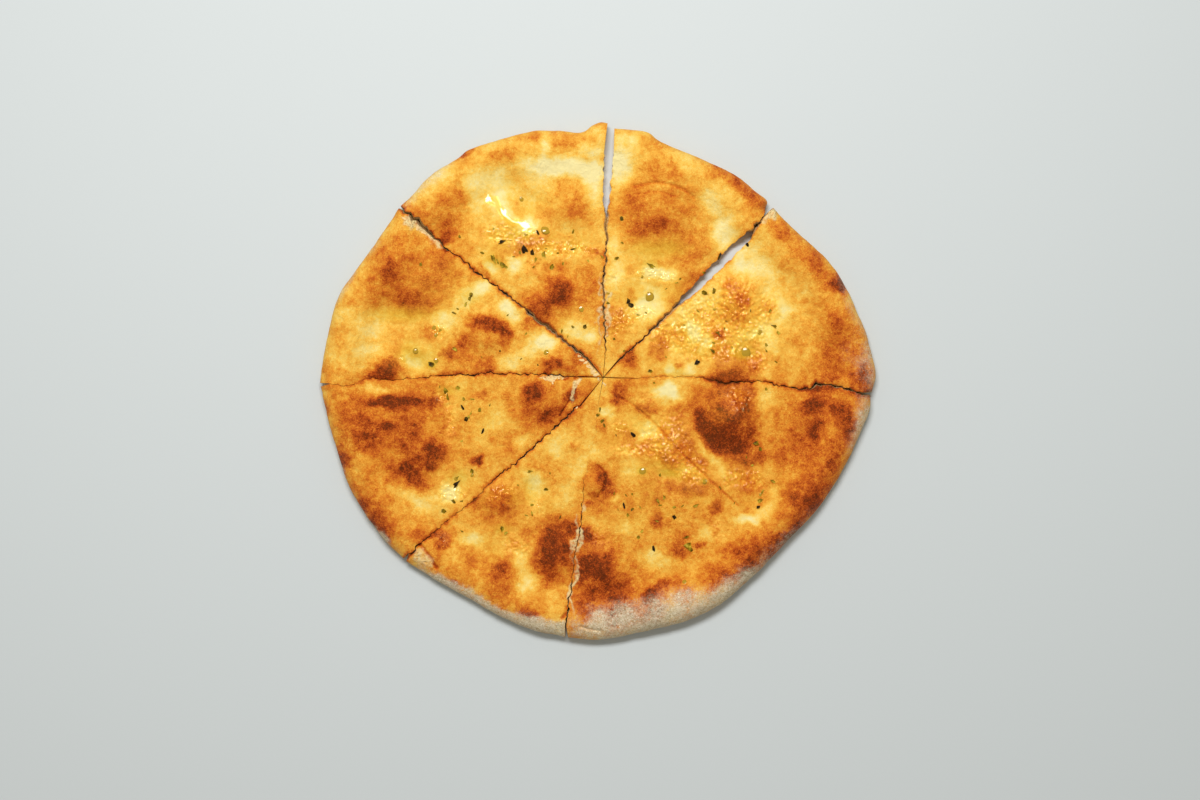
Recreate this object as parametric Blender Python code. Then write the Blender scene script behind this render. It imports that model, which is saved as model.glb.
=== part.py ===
"""A round focaccia, baked as one flat bread and then cut with a wheel into slices that still lie together.

Each slice is one solid of bread: a thin middle, a rim that swells and rolls over to a round edge, blisters
that rose in the oven and hollows that the fingertips pressed. One cut stopped short of the rim, so the
slices on either side of it are still one piece. Lengths are in millimetres until a mesh is made.
The origin is on the ground under the middle, +X runs along the bread's longer way and +Z is up.
"""

import math
from collections import namedtuple

import bmesh
import bpy
from mathutils import Vector
from mathutils.geometry import delaunay_2d_cdt, intersect_point_line

MM = 0.001

# Section through the bread, from its outermost line inwards
MIDDLE_THICKNESS = 7.0   # the flat middle
EDGE_HEIGHT = 4.6        # the outermost line's height above the ground
CROWN_INSET = 9.5        # from the outermost line in to the rim's highest line
RIM_WIDTH = 26.0         # from the outermost line in to the flat middle
UNDERSIDE_ROUND = 7.0    # how far in the underside starts to roll up

# Height of the rim's highest line, by its bearing in degrees anticlockwise from +X
RIM_HEIGHTS = ((0, 13.0), (45, 11.5), (90, 10.0), (125, 10.5), (160, 12.0),
               (200, 12.0), (235, 11.5), (262, 13.0), (290, 15.0), (325, 14.0))

# Blisters and hollows: middle x, y, radius, and rise above the dough around it. The last two are corners
# where the wheel tore the crust away
SWELLINGS = (
    (32, 88, 24, 5.0), (-14, 87, 15, 2.8), (-78, 86, 15, 2.8), (-19, 44, 13, 2.8), (-30, 37, 9, 1.8),
    (-93, 56, 26, 5.0), (-55, 25, 15, 3.0), (-19, 9, 11, 2.4), (-106, 6, 10, 2.6), (70, 42, 16, 3.0),
    (117, 28, 14, 1.8), (67, 6, 12, 2.0), (66, -17, 19, 5.5), (108, -15, 15, 2.0), (34, -36, 13, 2.2),
    (2, -95, 16, 3.0), (28, -104, 12, 2.0), (78, -86, 14, 1.8), (-22, -87, 15, 3.4), (-50, -57, 13, 2.8),
    (-48, -95, 13, 2.0), (-103, -24, 33, 3.2), (-27, -8, 15, 3.2), (-84, -38, 12, 1.8), (-1, -52, 8, 2.2),
    (-40, 78, 16, -1.4), (-104, 29, 17, -1.4), (-90, 8, 8, -1.6), (26, 42, 14, -1.6), (74, 14, 8, -1.2),
    (62, 72, 13, -1.2), (84, -58, 12, -1.4), (-36, -30, 13, -0.9), (-66, -52, 13, -1.2), (-32, -55, 9, -1.2),
    (87, 83, 9, -3.0), (-88, 75, 9, -2.6),
)

# Each cut, from the middle out: x, y and how wide it gapes there
CUTS = {
    "noon": ((3.2, 12, 0.6), (3.4, 25, 0.8), (3.0, 45, 1.0), (3.9, 70, 1.0), (4.1, 84, 2.3),
             (4.6, 99, 3.3), (5.4, 114, 3.5)),
    "half_past_one": ((11, 11, 0.6), (25, 23.3, 1.0), (40, 38.5, 1.9), (51, 48.6, 2.5), (62, 60, 3.1),
                      (72, 69.6, 3.0), (80, 78.6, 1.1), (82.7, 82.2, 0.8)),
    "three": ((21, 1.8, 0.5), (47, 2.2, 0.5), (57, 0.6, 0.6), (65, -0.8, 0.6), (80, 0, 0.6), (92, -3, 0.7),
              (104, -3.9, 0.9), (111, -1.7, 1.2), (123, -4, 1.6), (131, -6.8, 1.3)),
    "six": ((0, -12, 0.5), (-2, -30, 0.5), (-6, -46, 0.6), (-7.5, -58, 0.7), (-8.5, -72, 0.9),
            (-11.2, -85, 0.8), (-12.6, -98, 0.8), (-15, -113, 1.0), (-15.8, -122, 0.8)),
    "half_past_seven": ((-9, -11.8, 0.6), (-20, -21.6, 0.9), (-40, -39.8, 0.8), (-54, -51.2, 0.7),
                        (-70, -66, 0.6), (-88, -80.6, 0.9), (-94, -86.4, 1.2)),
    "nine": ((-10, 2.6, 0.6), (-40, 3.5, 0.6), (-62, 3.6, 0.6), (-79, 2.8, 0.6), (-91, 1.1, 0.5),
             (-107, 0.7, 0.5), (-115, 0.9, 0.5), (-122, -1.4, 0.6), (-133, -1.9, 0.5)),
    "half_past_ten": ((-5.5, 11, 1.5), (-15, 18.8, 1.5), (-30, 30.4, 1.3), (-48, 44.8, 1.0), (-66, 58.6, 0.8),
                      (-79, 69, 1.0), (-87, 77.6, 2.2), (-93, 82.4, 1.8), (-97, 85.6, 1.1)),
}
HUB = (2.6, 1.8)         # where the cuts cross
TIP_CLEARANCE = 1.3      # from there to each slice's tip

# The cut that went neither through the bread nor out to its rim
SCORE = ((11, -7.5), (30, -22.5), (46, -38), (61, -53), (70, -62))
SCORE_DEPTH = 1.2
SCORE_HALF_WIDTH = 0.9

# Spacing of the points that the surfaces are made of
RIM_STEP = 4.6           # along the rim
CUT_STEP = 3.6           # along a cut
LATTICE_PITCH = 5.2      # between points of the crust
CRUST_RINGS = (0.6, 2.2, 5.0, 9.5, 14.5)     # rows of crust points that follow the rim
UNDERSIDE_RINGS = (0.5, 1.8, 4.2, 7.0)       # rows of underside points that follow the rim
WALL_ROOM = 1.6          # from a cut's wall to the nearest point of the crust or underside
SEAM_MERGE = 0.02        # crust and underside points this close on the rim become one
POINT_MERGE = 1e-6       # points of one surface this close would be one; none are
INSIDE_ONLY = 1          # the triangulation keeps only what lies inside the outline
CUT_EDGE_ANGLE = 50      # edges sharper than this many degrees stay sharp

Slice = namedtuple("Slice", "name first_cut last_cut scored rim colour")

# Slices clockwise. A rim is listed clockwise too, from its first cut's corner to its last cut's
SLICES = (
    Slice("slice_one", "noon", "half_past_one", False,
          ((8.2, 126.3), (20, 125.5), (26, 124), (30, 120.6), (40, 116), (52, 111), (68, 103.4),
           (78, 95.6), (84.5, 90.2), (83.6, 86)),
          (0.72, 0.33, 0.055)),
    Slice("slice_two", "half_past_one", "three", False,
          ((87.8, 86.5), (98, 76), (113, 62.5), (121.5, 51.5), (128, 38.5), (134, 24), (138, 9.5),
           (139, 1.8), (137, -4.9)),
          (0.66, 0.28, 0.055)),
    Slice("slice_wide", "three", "six", True,
          ((136.2, -7.4), (136.2, -14), (130.6, -27.6), (121.6, -46), (110, -64), (92, -83), (78.5, -97),
           (61, -111.7), (44, -120), (24, -125.2), (2, -129.4), (-14.8, -128.2)),
          (0.57, 0.22, 0.045)),
    Slice("slice_seven", "six", "half_past_seven", False,
          ((-16.6, -128), (-34, -124.2), (-51, -116.6), (-67, -107.4), (-81, -99.8), (-95.8, -90.2)),
          (0.65, 0.30, 0.060)),
    Slice("slice_eight", "half_past_seven", "nine", False,
          ((-97.4, -88.6), (-106, -80.4), (-117, -65.6), (-125.6, -50), (-132.4, -29), (-136.8, -12),
           (-138.6, -2.8)),
          (0.54, 0.20, 0.040)),
    Slice("slice_ten", "nine", "half_past_ten", False,
          ((-139, -0.9), (-138, 8), (-134.8, 25.5), (-129, 44), (-119.6, 57.4), (-110, 71), (-103.6, 80.4),
           (-99.8, 86.2)),
          (0.65, 0.28, 0.045)),
    Slice("slice_eleven", "half_past_ten", "noon", False,
          ((-98.6, 87.6), (-92, 94), (-83.6, 103), (-71, 111), (-64, 116), (-50, 120.6), (-34, 124.8),
           (-20, 125.4), (-8.6, 124.6), (-3.4, 127.4), (1, 129.5), (4.8, 128.9)),
          (0.74, 0.37, 0.070)),
)


def smooth_curve(points, step):
    """Points about one step apart on a smooth curve through all the given ones."""
    knots = [Vector(point) for point in points]
    knots = [2 * knots[0] - knots[1]] + knots + [2 * knots[-1] - knots[-2]]
    curve = []
    for before, start, end, after in zip(knots, knots[1:], knots[2:], knots[3:]):
        pull = end - before
        bend = 2 * before - 5 * start + 4 * end - after
        swing = 3 * (start - end) + after - before
        count = max(1, round((end - start).length / step))
        for part in range(count):
            share = part / count
            curve.append(start + (pull * share + bend * share ** 2 + swing * share ** 3) / 2)
    return curve + [knots[-2]]


def sideways(row, number):
    """The level direction across a row of points at one of them, to the left of the row's run."""
    ahead = row[min(number + 1, len(row) - 1)] - row[max(number - 1, 0)]
    return Vector((-ahead.y, ahead.x)).normalized()


def cut_wall(cut, side, corner):
    """One wall of a cut in plan, from the middle out to a corner of the rim; side is +1 for the left wall."""
    stations = smooth_curve(CUTS[cut], CUT_STEP)
    wall = [station.xy + sideways(stations, number) * side * station.z / 2
            for number, station in enumerate(stations)]
    last_stretch = corner - wall[-1]
    for inset in reversed(CRUST_RINGS):
        if inset < last_stretch.length - CRUST_RINGS[0]:
            wall.append(corner - last_stretch.normalized() * inset)
    return wall


def slice_tip(first_wall, last_wall):
    """The slice's inner point, a little way out from the hub, midway between its two cuts."""
    hub = Vector(HUB)
    bearings = (first_wall[0] - hub).normalized() + (last_wall[0] - hub).normalized()
    return hub + bearings.normalized() * TIP_CLEARANCE


def distance_to_path(point, path):
    """Shortest distance in plan from a point to an open row of points."""
    nearest = math.inf
    for start, end in zip(path, path[1:]):
        foot, along = intersect_point_line(point, start, end)
        foot = start if along < 0 else end if along > 1 else foot
        nearest = min(nearest, (point - foot.xy).length)
    return nearest


def is_inside(point, outline):
    """Whether a point lies inside a closed outline, by counting how often a line to its right crosses it."""
    inside = False
    for start, end in zip(outline, outline[1:] + outline[:1]):
        if (start.y > point.y) != (end.y > point.y):
            crossing = start.x + (point.y - start.y) / (end.y - start.y) * (end.x - start.x)
            inside ^= point.x < crossing
    return inside


def rim_height(point):
    """The rim's height at a point's bearing, eased from one named height to the next."""
    bearing = math.degrees(math.atan2(point.y, point.x)) % 360
    around = RIM_HEIGHTS + ((RIM_HEIGHTS[0][0] + 360, RIM_HEIGHTS[0][1]),)
    number = sum(bearing >= start for start, _ in RIM_HEIGHTS)
    (start, low), (end, high) = around[number - 1:number + 1]
    return low + (high - low) * (0.5 - 0.5 * math.cos(math.pi * (bearing - start) / (end - start)))


def quarter_round(share):
    """Rise of a quarter ellipse, from 0 at share 0, where it is steep, to 1 at share 1, where it is level."""
    return math.sqrt(max(0.0, 1 - (1 - min(share, 1)) ** 2))


def crust_height(point, inset):
    """Height of the top crust at a point that lies so far in from the rim."""
    crown = rim_height(point)
    if inset < CROWN_INSET:
        height = EDGE_HEIGHT + (crown - EDGE_HEIGHT) * quarter_round(inset / CROWN_INSET)
    else:
        fall = min(1, (inset - CROWN_INSET) / (RIM_WIDTH - CROWN_INSET))
        height = MIDDLE_THICKNESS + (crown - MIDDLE_THICKNESS) * (0.5 + 0.5 * math.cos(math.pi * fall))
    for x, y, radius, rise in SWELLINGS:
        reach = (point - Vector((x, y))).length_squared / radius ** 2
        if reach < 1:
            height += rise * (1 - reach) ** 2 * min(1, inset / CROWN_INSET)
    return height


def underside_height(inset):
    """Height of the underside, which lies flat and rolls up to the rim's outermost line."""
    return EDGE_HEIGHT * (1 - quarter_round(inset / UNDERSIDE_ROUND))


def ring_points(rim, inset):
    """A row of points that follows the rim, so far in from it."""
    row = [point - sideways(rim, number) * inset for number, point in enumerate(rim)]
    return [point for point in row if distance_to_path(point, rim) > 0.8 * inset]


def lattice_points(outline):
    """Points in staggered rows over the whole of a slice."""
    low = Vector((min(point.x for point in outline), min(point.y for point in outline)))
    high = Vector((max(point.x for point in outline), max(point.y for point in outline)))
    row_gap = LATTICE_PITCH * math.sqrt(3) / 2
    return [low + Vector(((column + row % 2 / 2) * LATTICE_PITCH, row * row_gap))
            for row in range(int((high.y - low.y) / row_gap) + 1)
            for column in range(int((high.x - low.x) / LATTICE_PITCH) + 1)]


def with_room(points, path, room):
    """Those points that keep clear of a row of points."""
    return [point for point in points if distance_to_path(point, path) > room]


def score_lines():
    """The right edge, the bottom and the left edge of the score, each a row of points."""
    bottom = smooth_curve(SCORE, CUT_STEP)
    left = [point + sideways(bottom, number) * SCORE_HALF_WIDTH for number, point in enumerate(bottom)]
    right = [point - sideways(bottom, number) * SCORE_HALF_WIDTH for number, point in enumerate(bottom)]
    return [right, bottom, left]


def add_surface(mesh, outline, inner, creases, height_at):
    """Fill an outline with triangles through all the inner points; gives back the outline's vertices."""
    points = outline + inner
    crease_edges = []
    for crease in creases:
        crease_edges += [(len(points) + step, len(points) + step + 1) for step in range(len(crease) - 1)]
        points = points + crease
    faces = delaunay_2d_cdt(points, crease_edges, [list(range(len(outline)))], INSIDE_ONLY, POINT_MERGE)[2]
    vertices = [mesh.verts.new((point.x * MM, point.y * MM, height_at(point) * MM)) for point in points]
    for face in faces:
        mesh.faces.new([vertices[corner] for corner in face])
    return vertices[:len(outline)]


def add_slice(slice_):
    """Make one slice as a closed solid: crust, underside, and a wall along each cut."""
    rim = smooth_curve(slice_.rim, RIM_STEP)
    first_wall = cut_wall(slice_.first_cut, -1, rim[0])
    last_wall = cut_wall(slice_.last_cut, +1, rim[-1])
    tip = slice_tip(first_wall, last_wall)
    outline = [tip] + first_wall + rim + last_wall[::-1]
    walls = [rim[-1]] + last_wall[::-1] + [tip] + first_wall + [rim[0]]
    creases = score_lines() if slice_.scored else []

    def top(point):
        drop = SCORE_DEPTH if creases and point in creases[1] else 0
        return crust_height(point, distance_to_path(point, rim)) - drop

    def bottom(point):
        return underside_height(distance_to_path(point, rim))

    inner = with_room(lattice_points(outline), rim, CRUST_RINGS[-1] + LATTICE_PITCH / 2)
    for inset in CRUST_RINGS:
        inner += ring_points(rim, inset)
    for crease in creases:
        inner = with_room(inner, crease, LATTICE_PITCH / 2)
    inner = [point for point in with_room(inner, walls, WALL_ROOM) if is_inside(point, outline)]
    under = sum((ring_points(rim, inset) for inset in UNDERSIDE_RINGS), [])
    under = [point for point in with_room(under, walls, WALL_ROOM) if is_inside(point, outline)]

    mesh = bmesh.new()
    crust_edge = add_surface(mesh, outline, inner, creases, top)
    underside_edge = add_surface(mesh, outline, under, [], bottom)
    for number in range(-1, len(outline) - 1):
        mesh.faces.new((underside_edge[number], underside_edge[number + 1],
                        crust_edge[number + 1], crust_edge[number]))
    bmesh.ops.remove_doubles(mesh, verts=mesh.verts, dist=SEAM_MERGE * MM)
    bmesh.ops.triangulate(mesh, faces=mesh.faces)
    bmesh.ops.recalc_face_normals(mesh, faces=mesh.faces)

    data = bpy.data.meshes.new(slice_.name)
    mesh.to_mesh(data)
    mesh.free()
    data.shade_smooth()
    data.set_sharp_from_angle(angle=math.radians(CUT_EDGE_ANGLE))
    data.materials.append(crust_material(slice_))
    bpy.context.scene.collection.objects.link(bpy.data.objects.new(slice_.name, data))


def crust_material(slice_):
    """Golden, lightly oiled crust in the slice's own shade."""
    material = bpy.data.materials.new(slice_.name + "_crust")
    material.use_nodes = True
    shader = material.node_tree.nodes["Principled BSDF"]
    shader.inputs["Base Color"].default_value = (*slice_.colour, 1)
    shader.inputs["Roughness"].default_value = 0.45
    shader.inputs["Metallic"].default_value = 0
    return material


for left_over in list(bpy.data.objects):
    bpy.data.objects.remove(left_over, do_unlink=True)
for slice_ in SLICES:
    add_slice(slice_)
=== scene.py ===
import math
import random

import bpy
import numpy as np
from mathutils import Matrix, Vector, noise
from mathutils.geometry import delaunay_2d_cdt


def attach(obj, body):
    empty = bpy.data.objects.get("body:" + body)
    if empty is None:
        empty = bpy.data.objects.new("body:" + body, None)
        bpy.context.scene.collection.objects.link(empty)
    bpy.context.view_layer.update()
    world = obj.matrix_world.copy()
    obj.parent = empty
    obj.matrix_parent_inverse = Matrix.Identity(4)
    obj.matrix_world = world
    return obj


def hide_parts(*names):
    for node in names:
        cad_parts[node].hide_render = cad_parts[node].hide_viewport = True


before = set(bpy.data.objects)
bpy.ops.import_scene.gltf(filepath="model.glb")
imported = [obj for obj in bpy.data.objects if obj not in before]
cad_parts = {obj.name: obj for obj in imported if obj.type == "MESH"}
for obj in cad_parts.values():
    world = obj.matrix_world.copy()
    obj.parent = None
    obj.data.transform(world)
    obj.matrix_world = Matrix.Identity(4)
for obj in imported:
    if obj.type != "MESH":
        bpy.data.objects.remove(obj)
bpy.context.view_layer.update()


# ------------------------------------------------------------------------------------------ the rolled dough
# One ball of wheat dough, rolled thin and pressed flat with the fingertips, so that the middle is thin and
# the rim swells in the oven. Lengths are in millimetres, from the ground under the bread's middle.
MM = 0.001
MIDDLE_THICKNESS = 7.0
EDGE_HEIGHT = 4.6
CROWN_INSET = 9.5
RIM_WIDTH = 26.0
UNDERSIDE_ROUND = 7.0
RIM_HEIGHTS = ((0, 13.0), (45, 11.5), (90, 10.0), (125, 10.5), (160, 12.0),
               (200, 12.0), (235, 11.5), (262, 13.0), (290, 15.0), (325, 14.0))


def ripple(spots, wavelength, seed, octaves=2):
    """Smooth random waves over the bread, about -1 to 1, of one wavelength and finer ones on top."""
    places = np.column_stack([spots[:, :2] / wavelength, np.full(len(spots), seed * 7.31)])
    return np.array([noise.fractal(place, 1.0, 2.0, octaves) for place in places.tolist()])


def smooth_curve(points, step):
    """Points about one step apart on a smooth curve through all the given ones."""
    knots = np.array(points, float)
    knots = np.vstack([2 * knots[0] - knots[1], knots, 2 * knots[-1] - knots[-2]])
    curve = []
    for before, start, end, after in zip(knots, knots[1:], knots[2:], knots[3:]):
        pull = end - before
        bend = 2 * before - 5 * start + 4 * end - after
        swing = 3 * (start - end) + after - before
        count = max(1, round(np.hypot(*(end - start)[:2]) / step))
        share = (np.arange(count) / count)[:, None]
        curve.append(start + (pull * share + bend * share ** 2 + swing * share ** 3) / 2)
    return np.vstack(curve + [knots[-2:-1]])


def sideways(row):
    """The level direction to the left of a row's run, at each of its points."""
    ahead = np.gradient(row[:, :2], axis=0)
    across = np.column_stack([-ahead[:, 1], ahead[:, 0]])
    return across / np.linalg.norm(across, axis=1)[:, None]


def distance_to_path(spots, path):
    """Shortest distance in plan from each spot to an open row of points."""
    nearest = np.full(len(spots), np.inf)
    for start, end in zip(path, path[1:]):
        run = end - start
        share = np.clip((spots - start) @ run / max(run @ run, 1e-12), 0, 1)
        gap = spots - start - share[:, None] * run
        nearest = np.minimum(nearest, np.einsum("ij,ij->i", gap, gap))
    return np.sqrt(nearest)


def inside(spots, outline):
    """Which spots lie inside a closed outline."""
    within = np.zeros(len(spots), bool)
    for start, end in zip(outline, np.roll(outline, -1, axis=0)):
        level = (start[1] > spots[:, 1]) != (end[1] > spots[:, 1])
        crossing = start[0] + (spots[:, 1] - start[1]) / (end[1] - start[1] + 1e-12) * (end[0] - start[0])
        within ^= level & (spots[:, 0] < crossing)
    return within


def quarter_round(share):
    """Rise of a quarter ellipse: steep at share 0 and level at share 1."""
    return np.sqrt(np.clip(1 - (1 - np.clip(share, 0, 1)) ** 2, 0, 1))


def rim_height(spots):
    """The rim's height at each spot's bearing, eased from one named height to the next."""
    bearing = np.degrees(np.arctan2(spots[:, 1], spots[:, 0])) % 360
    starts, heights = zip(*RIM_HEIGHTS, (RIM_HEIGHTS[0][0] + 360, RIM_HEIGHTS[0][1]))
    number = np.searchsorted(starts, bearing, side="right") - 1
    start, end = np.take(starts, number), np.take(starts, number + 1)
    ease = 0.5 - 0.5 * np.cos(np.pi * (bearing - start) / (end - start))
    return np.take(heights, number) * (1 - ease) + np.take(heights, number + 1) * ease


def dough_height(spots, inset, swellings):
    """Height of the plain crust, with its rim, its blisters and its fingertip hollows: x, y, radius, rise."""
    crown = rim_height(spots) + 0.7 * ripple(spots, 26, 1)
    outer = EDGE_HEIGHT + (crown - EDGE_HEIGHT) * quarter_round(inset / CROWN_INSET)
    fall = np.clip((inset - CROWN_INSET) / (RIM_WIDTH - CROWN_INSET), 0, 1)
    inner = MIDDLE_THICKNESS + (crown - MIDDLE_THICKNESS) * (0.5 + 0.5 * np.cos(np.pi * fall))
    height = np.where(inset < CROWN_INSET, outer, inner)
    steady = np.clip(inset / CROWN_INSET, 0, 1)
    for x, y, radius, rise in swellings:
        reach = ((spots - (x, y)) ** 2).sum(axis=1) / radius ** 2
        height += rise * np.clip(1 - reach, 0, None) ** 2 * steady
    return height


def underside_height(inset):
    """Height of the underside, which lies flat and rolls up to the rim's outermost line."""
    return EDGE_HEIGHT * (1 - quarter_round(inset / UNDERSIDE_ROUND))


def patches(spots, marks):
    """How strongly spots are marked by oval patches: x, y, half length, half width, any turn, strength."""
    total = np.zeros(len(spots))
    for x, y, length, width, *turn, strength in marks:
        away, angle = spots - (x, y), math.radians(sum(turn))
        along = (away[:, 0] * math.cos(angle) + away[:, 1] * math.sin(angle)) / length
        across = (away[:, 1] * math.cos(angle) - away[:, 0] * math.sin(angle)) / width
        total += strength * np.exp(-(along ** 2 + across ** 2) ** 1.6)
    return total


def bubble_domes(spots, width, amount):
    """Rise of small round bubbles, packed side by side, worked out only where there are any; 0 to 1."""
    domes = np.zeros(len(spots))
    for number in np.flatnonzero(amount > 0.03):
        x, y = spots[number]
        nearest = noise.voronoi((x / width, y / width, 0.5))[0][0]
        domes[number] = max(0.0, 1 - (nearest / 0.55) ** 2)
    return domes


# ------------------------------------------------------------------------------------------- the wheel's cuts
# A pizza wheel was rolled across the baked bread through its middle. It tore the crust a little, so every
# cut is ragged, gapes more where the slices were moved, and is nearly healed where they still touch.
CUTS = {                                                          # x, y and how wide it gapes there
    "noon": ((3.2, 12, 0.2), (3.4, 25, 1.0), (3.0, 45, 1.2), (3.9, 70, 1.2), (4.1, 84, 2.7),
             (4.6, 99, 3.9), (5.4, 114, 4.3)),
    "half_past_one": ((11, 11, 0.7), (25, 23.3, 1.0), (40, 38.5, 2.6), (51, 48.6, 3.9), (62, 60, 4.7),
                      (72, 69.6, 4.6), (79, 77.4, 1.8), (82.7, 82.2, 0.8)),
    "three": ((21, 1.8, 0.1), (47, 2.2, 0.2), (57, 0.6, 0.5), (65, -0.8, 0.6), (80, 0, 0.4), (92, -3, 0.6),
              (104, -3.9, 0.8), (111, -1.7, 1.2), (123, -4, 1.5), (131, -6.8, 1.2)),
    "six": ((0, -12, 0.03), (-2, -30, 0.03), (-6, -46, 0.05), (-7.5, -58, 0.3), (-8.5, -72, 0.4),
            (-11.2, -85, 0.35), (-12.6, -98, 0.3), (-15, -113, 0.8), (-15.8, -122, 0.5)),
    "half_past_seven": ((-9, -11.8, 0.5), (-20, -21.6, 0.8), (-40, -39.8, 0.7), (-54, -51.2, 0.4),
                        (-70, -66, 0.25), (-88, -80.6, 0.5), (-94, -86.4, 0.8)),
    "nine": ((-10, 2.6, 0.5), (-40, 3.5, 0.5), (-62, 3.6, 0.6), (-79, 2.8, 0.45), (-91, 1.1, 0.25),
             (-107, 0.7, 0.2), (-115, 0.9, 0.2), (-122, -1.4, 0.15), (-133, -1.9, 0.12)),
    "half_past_ten": ((-5.5, 11, 1.4), (-15, 18.8, 1.6), (-30, 30.4, 1.9), (-48, 44.8, 0.9), (-66, 58.6, 0.6),
                      (-79, 69, 0.9), (-87, 77.6, 2.2), (-93, 82.4, 1.8), (-97, 85.6, 1.1)),
}
SHARPNESS = {"noon": 0.25, "half_past_one": 0.6, "three": 1.0, "six": 0.15, "half_past_seven": 0.8,
             "nine": 0.8, "half_past_ten": 1.0}                   # how hard the wheel bit: 0 healed, 1 open
HUB = np.array((2.6, 1.8))
TIP_CLEARANCE = 0.3
SPACING = 0.5                                                     # between the points of the fine crust
EDGE_RINGS = tuple(CROWN_INSET * (1 - math.cos(math.radians(turn))) for turn in range(5, 41, 4))
WALL_ROWS = 8
UNDERSIDE_SPACING = 1.9


def cut_wall(cut, side, corner):
    """One wall of a cut in plan, from the middle out to a corner of the rim; side is +1 for the left wall."""
    line = smooth_curve(CUTS[cut], SPACING)
    ragged = 0.9 * ripple(line, 2.6, 3, 3) + 0.35 * ripple(line, 1.2, 6) + 0.6 * ripple(line, 9, 4)
    ragged *= np.clip(1.3 - 0.25 * line[:, 2], 0.35, 1)
    gape = line[:, 2] + 1.3 * np.minimum(line[:, 2], 1.2) * ripple(line, 3.5, 5 + side, 3)
    wall = line[:, :2] + sideways(line) * (ragged + side * np.maximum(gape, 0.04) / 2)[:, None]
    stretch = corner - wall[-1]
    length = np.hypot(*stretch)
    insets = np.concatenate([np.arange(length - SPACING, EDGE_RINGS[-1] + SPACING / 2, -SPACING),
                             [ring for ring in EDGE_RINGS[::-1] if ring < length - SPACING]])
    return np.vstack([wall, corner - stretch / length * insets[:, None]])


def gape_beside(spots, cut):
    """How wide a cut gapes beside each spot."""
    line = smooth_curve(CUTS[cut], SPACING)
    away = spots[:, None] - line[None, :, :2]
    return line[(away ** 2).sum(axis=2).argmin(axis=1), 2]


def slice_outline(first_cut, last_cut, rim_points):
    """The slice in plan, clockwise from its tip: the whole outline, and how many points each wall has."""
    rim = smooth_curve(rim_points, SPACING)
    loose = np.clip(np.minimum(np.arange(len(rim)), np.arange(len(rim))[::-1]) / 8, 0, 1)
    rim = rim + sideways(rim) * (loose * (0.3 * ripple(rim, 7, 8) - 0.15))[:, None]
    first_wall = cut_wall(first_cut, -1, rim[0])
    last_wall = cut_wall(last_cut, +1, rim[-1])
    bearing = sum((wall[0] - HUB) / np.hypot(*(wall[0] - HUB)) for wall in (first_wall, last_wall))
    tip = HUB + bearing / np.hypot(*bearing) * TIP_CLEARANCE
    return np.vstack([tip, first_wall, rim, last_wall[::-1]]), len(first_wall), len(last_wall)


def filling(outline, rim, walls, rings, spacing):
    """Points inside an outline: rows that follow the rim, and staggered rows over the rest."""
    low, high = outline.min(axis=0), outline.max(axis=0)
    row_gap = spacing * math.sqrt(3) / 2
    columns, rows = np.meshgrid(np.arange(math.ceil((high[0] - low[0]) / spacing)),
                                np.arange(math.ceil((high[1] - low[1]) / row_gap)))
    lattice = low + np.column_stack([((columns + rows % 2 / 2) * spacing).ravel(), (rows * row_gap).ravel()])
    lattice = lattice[inside(lattice, outline)]
    lattice = lattice[distance_to_path(lattice, rim) > rings[-1] + spacing / 2]
    rows_by_rim = []
    for ring in rings:
        row = rim - sideways(rim) * ring
        row = row[inside(row, outline)]
        rows_by_rim.append(row[distance_to_path(row, rim) > 0.8 * ring])
    spots = np.vstack(rows_by_rim + [lattice])
    return spots[distance_to_path(spots, walls) > spacing / 2]


def triangles(outline, spots):
    """Triangles through an outline's points and all the spots inside it, by their numbers."""
    points = [Vector(point) for point in np.vstack([outline, spots]).tolist()]
    return delaunay_2d_cdt(points, [], [list(range(len(outline)))], 1, 1e-6)[2]


# ---------------------------------------------------------------------------------------- the baked bread
# The crust browns from the pale dough of the hollows to the dark tops of the blisters. Flour stays where the
# rim was handled, oil is brushed over the middle, and the crumb that the cuts laid open is cream. Shade is
# painted into the crust's colour beside and inside the cuts, in tears, along parts of the rim and towards the
# lower right, with a painted highlight along one streak of oil.


def paint(red, green, blue):
    """A colour as seen, 0 to 255, turned into the linear colour that a shader takes."""
    return tuple((part / 255 / 12.92) if part < 11 else ((part / 255 + 0.055) / 1.055) ** 2.4
                 for part in (red, green, blue)) + (1.0,)


def add(tree, kind, inputs=None, **settings):
    """Adds a node, with its settings, and with each named input set to a value or linked to a socket."""
    made = tree.nodes.new(kind)
    for name, value in settings.items():
        setattr(made, name, value)
    for name, value in (inputs or {}).items():
        if isinstance(value, bpy.types.NodeSocket):
            tree.links.new(value, made.inputs[name])
        else:
            made.inputs[name].default_value = value
    return made


def effect(name, inputs, outputs):
    """A shader node group with named inputs and outputs: the group, its input sockets, its output node."""
    group = bpy.data.node_groups.new(name, "ShaderNodeTree")
    for title, start in inputs.items():
        socket = group.interface.new_socket(title, in_out="INPUT", socket_type="NodeSocketFloat")
        socket.default_value = start
    for title, kind in outputs.items():
        group.interface.new_socket(title, in_out="OUTPUT", socket_type=kind)
    return group, group.nodes.new("NodeGroupInput").outputs, group.nodes.new("NodeGroupOutput")


def plain_finish(name):
    """A new material as it comes: the material, its node tree and its shader."""
    finish = bpy.data.materials.new(name)
    finish.use_nodes = True
    return finish, finish.node_tree, finish.node_tree.nodes["Principled BSDF"]


def arithmetic(tree, operation, *values, clamp=False):
    """The result of one step of arithmetic on values and sockets."""
    step = add(tree, "ShaderNodeMath", dict(enumerate(values)), operation=operation, use_clamp=clamp)
    return step.outputs[0]


def mixed(tree, share, low, high):
    """Two colours mixed by a share."""
    return add(tree, "ShaderNodeMix", {0: share, 6: low, 7: high}, data_type="RGBA").outputs[2]


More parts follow.
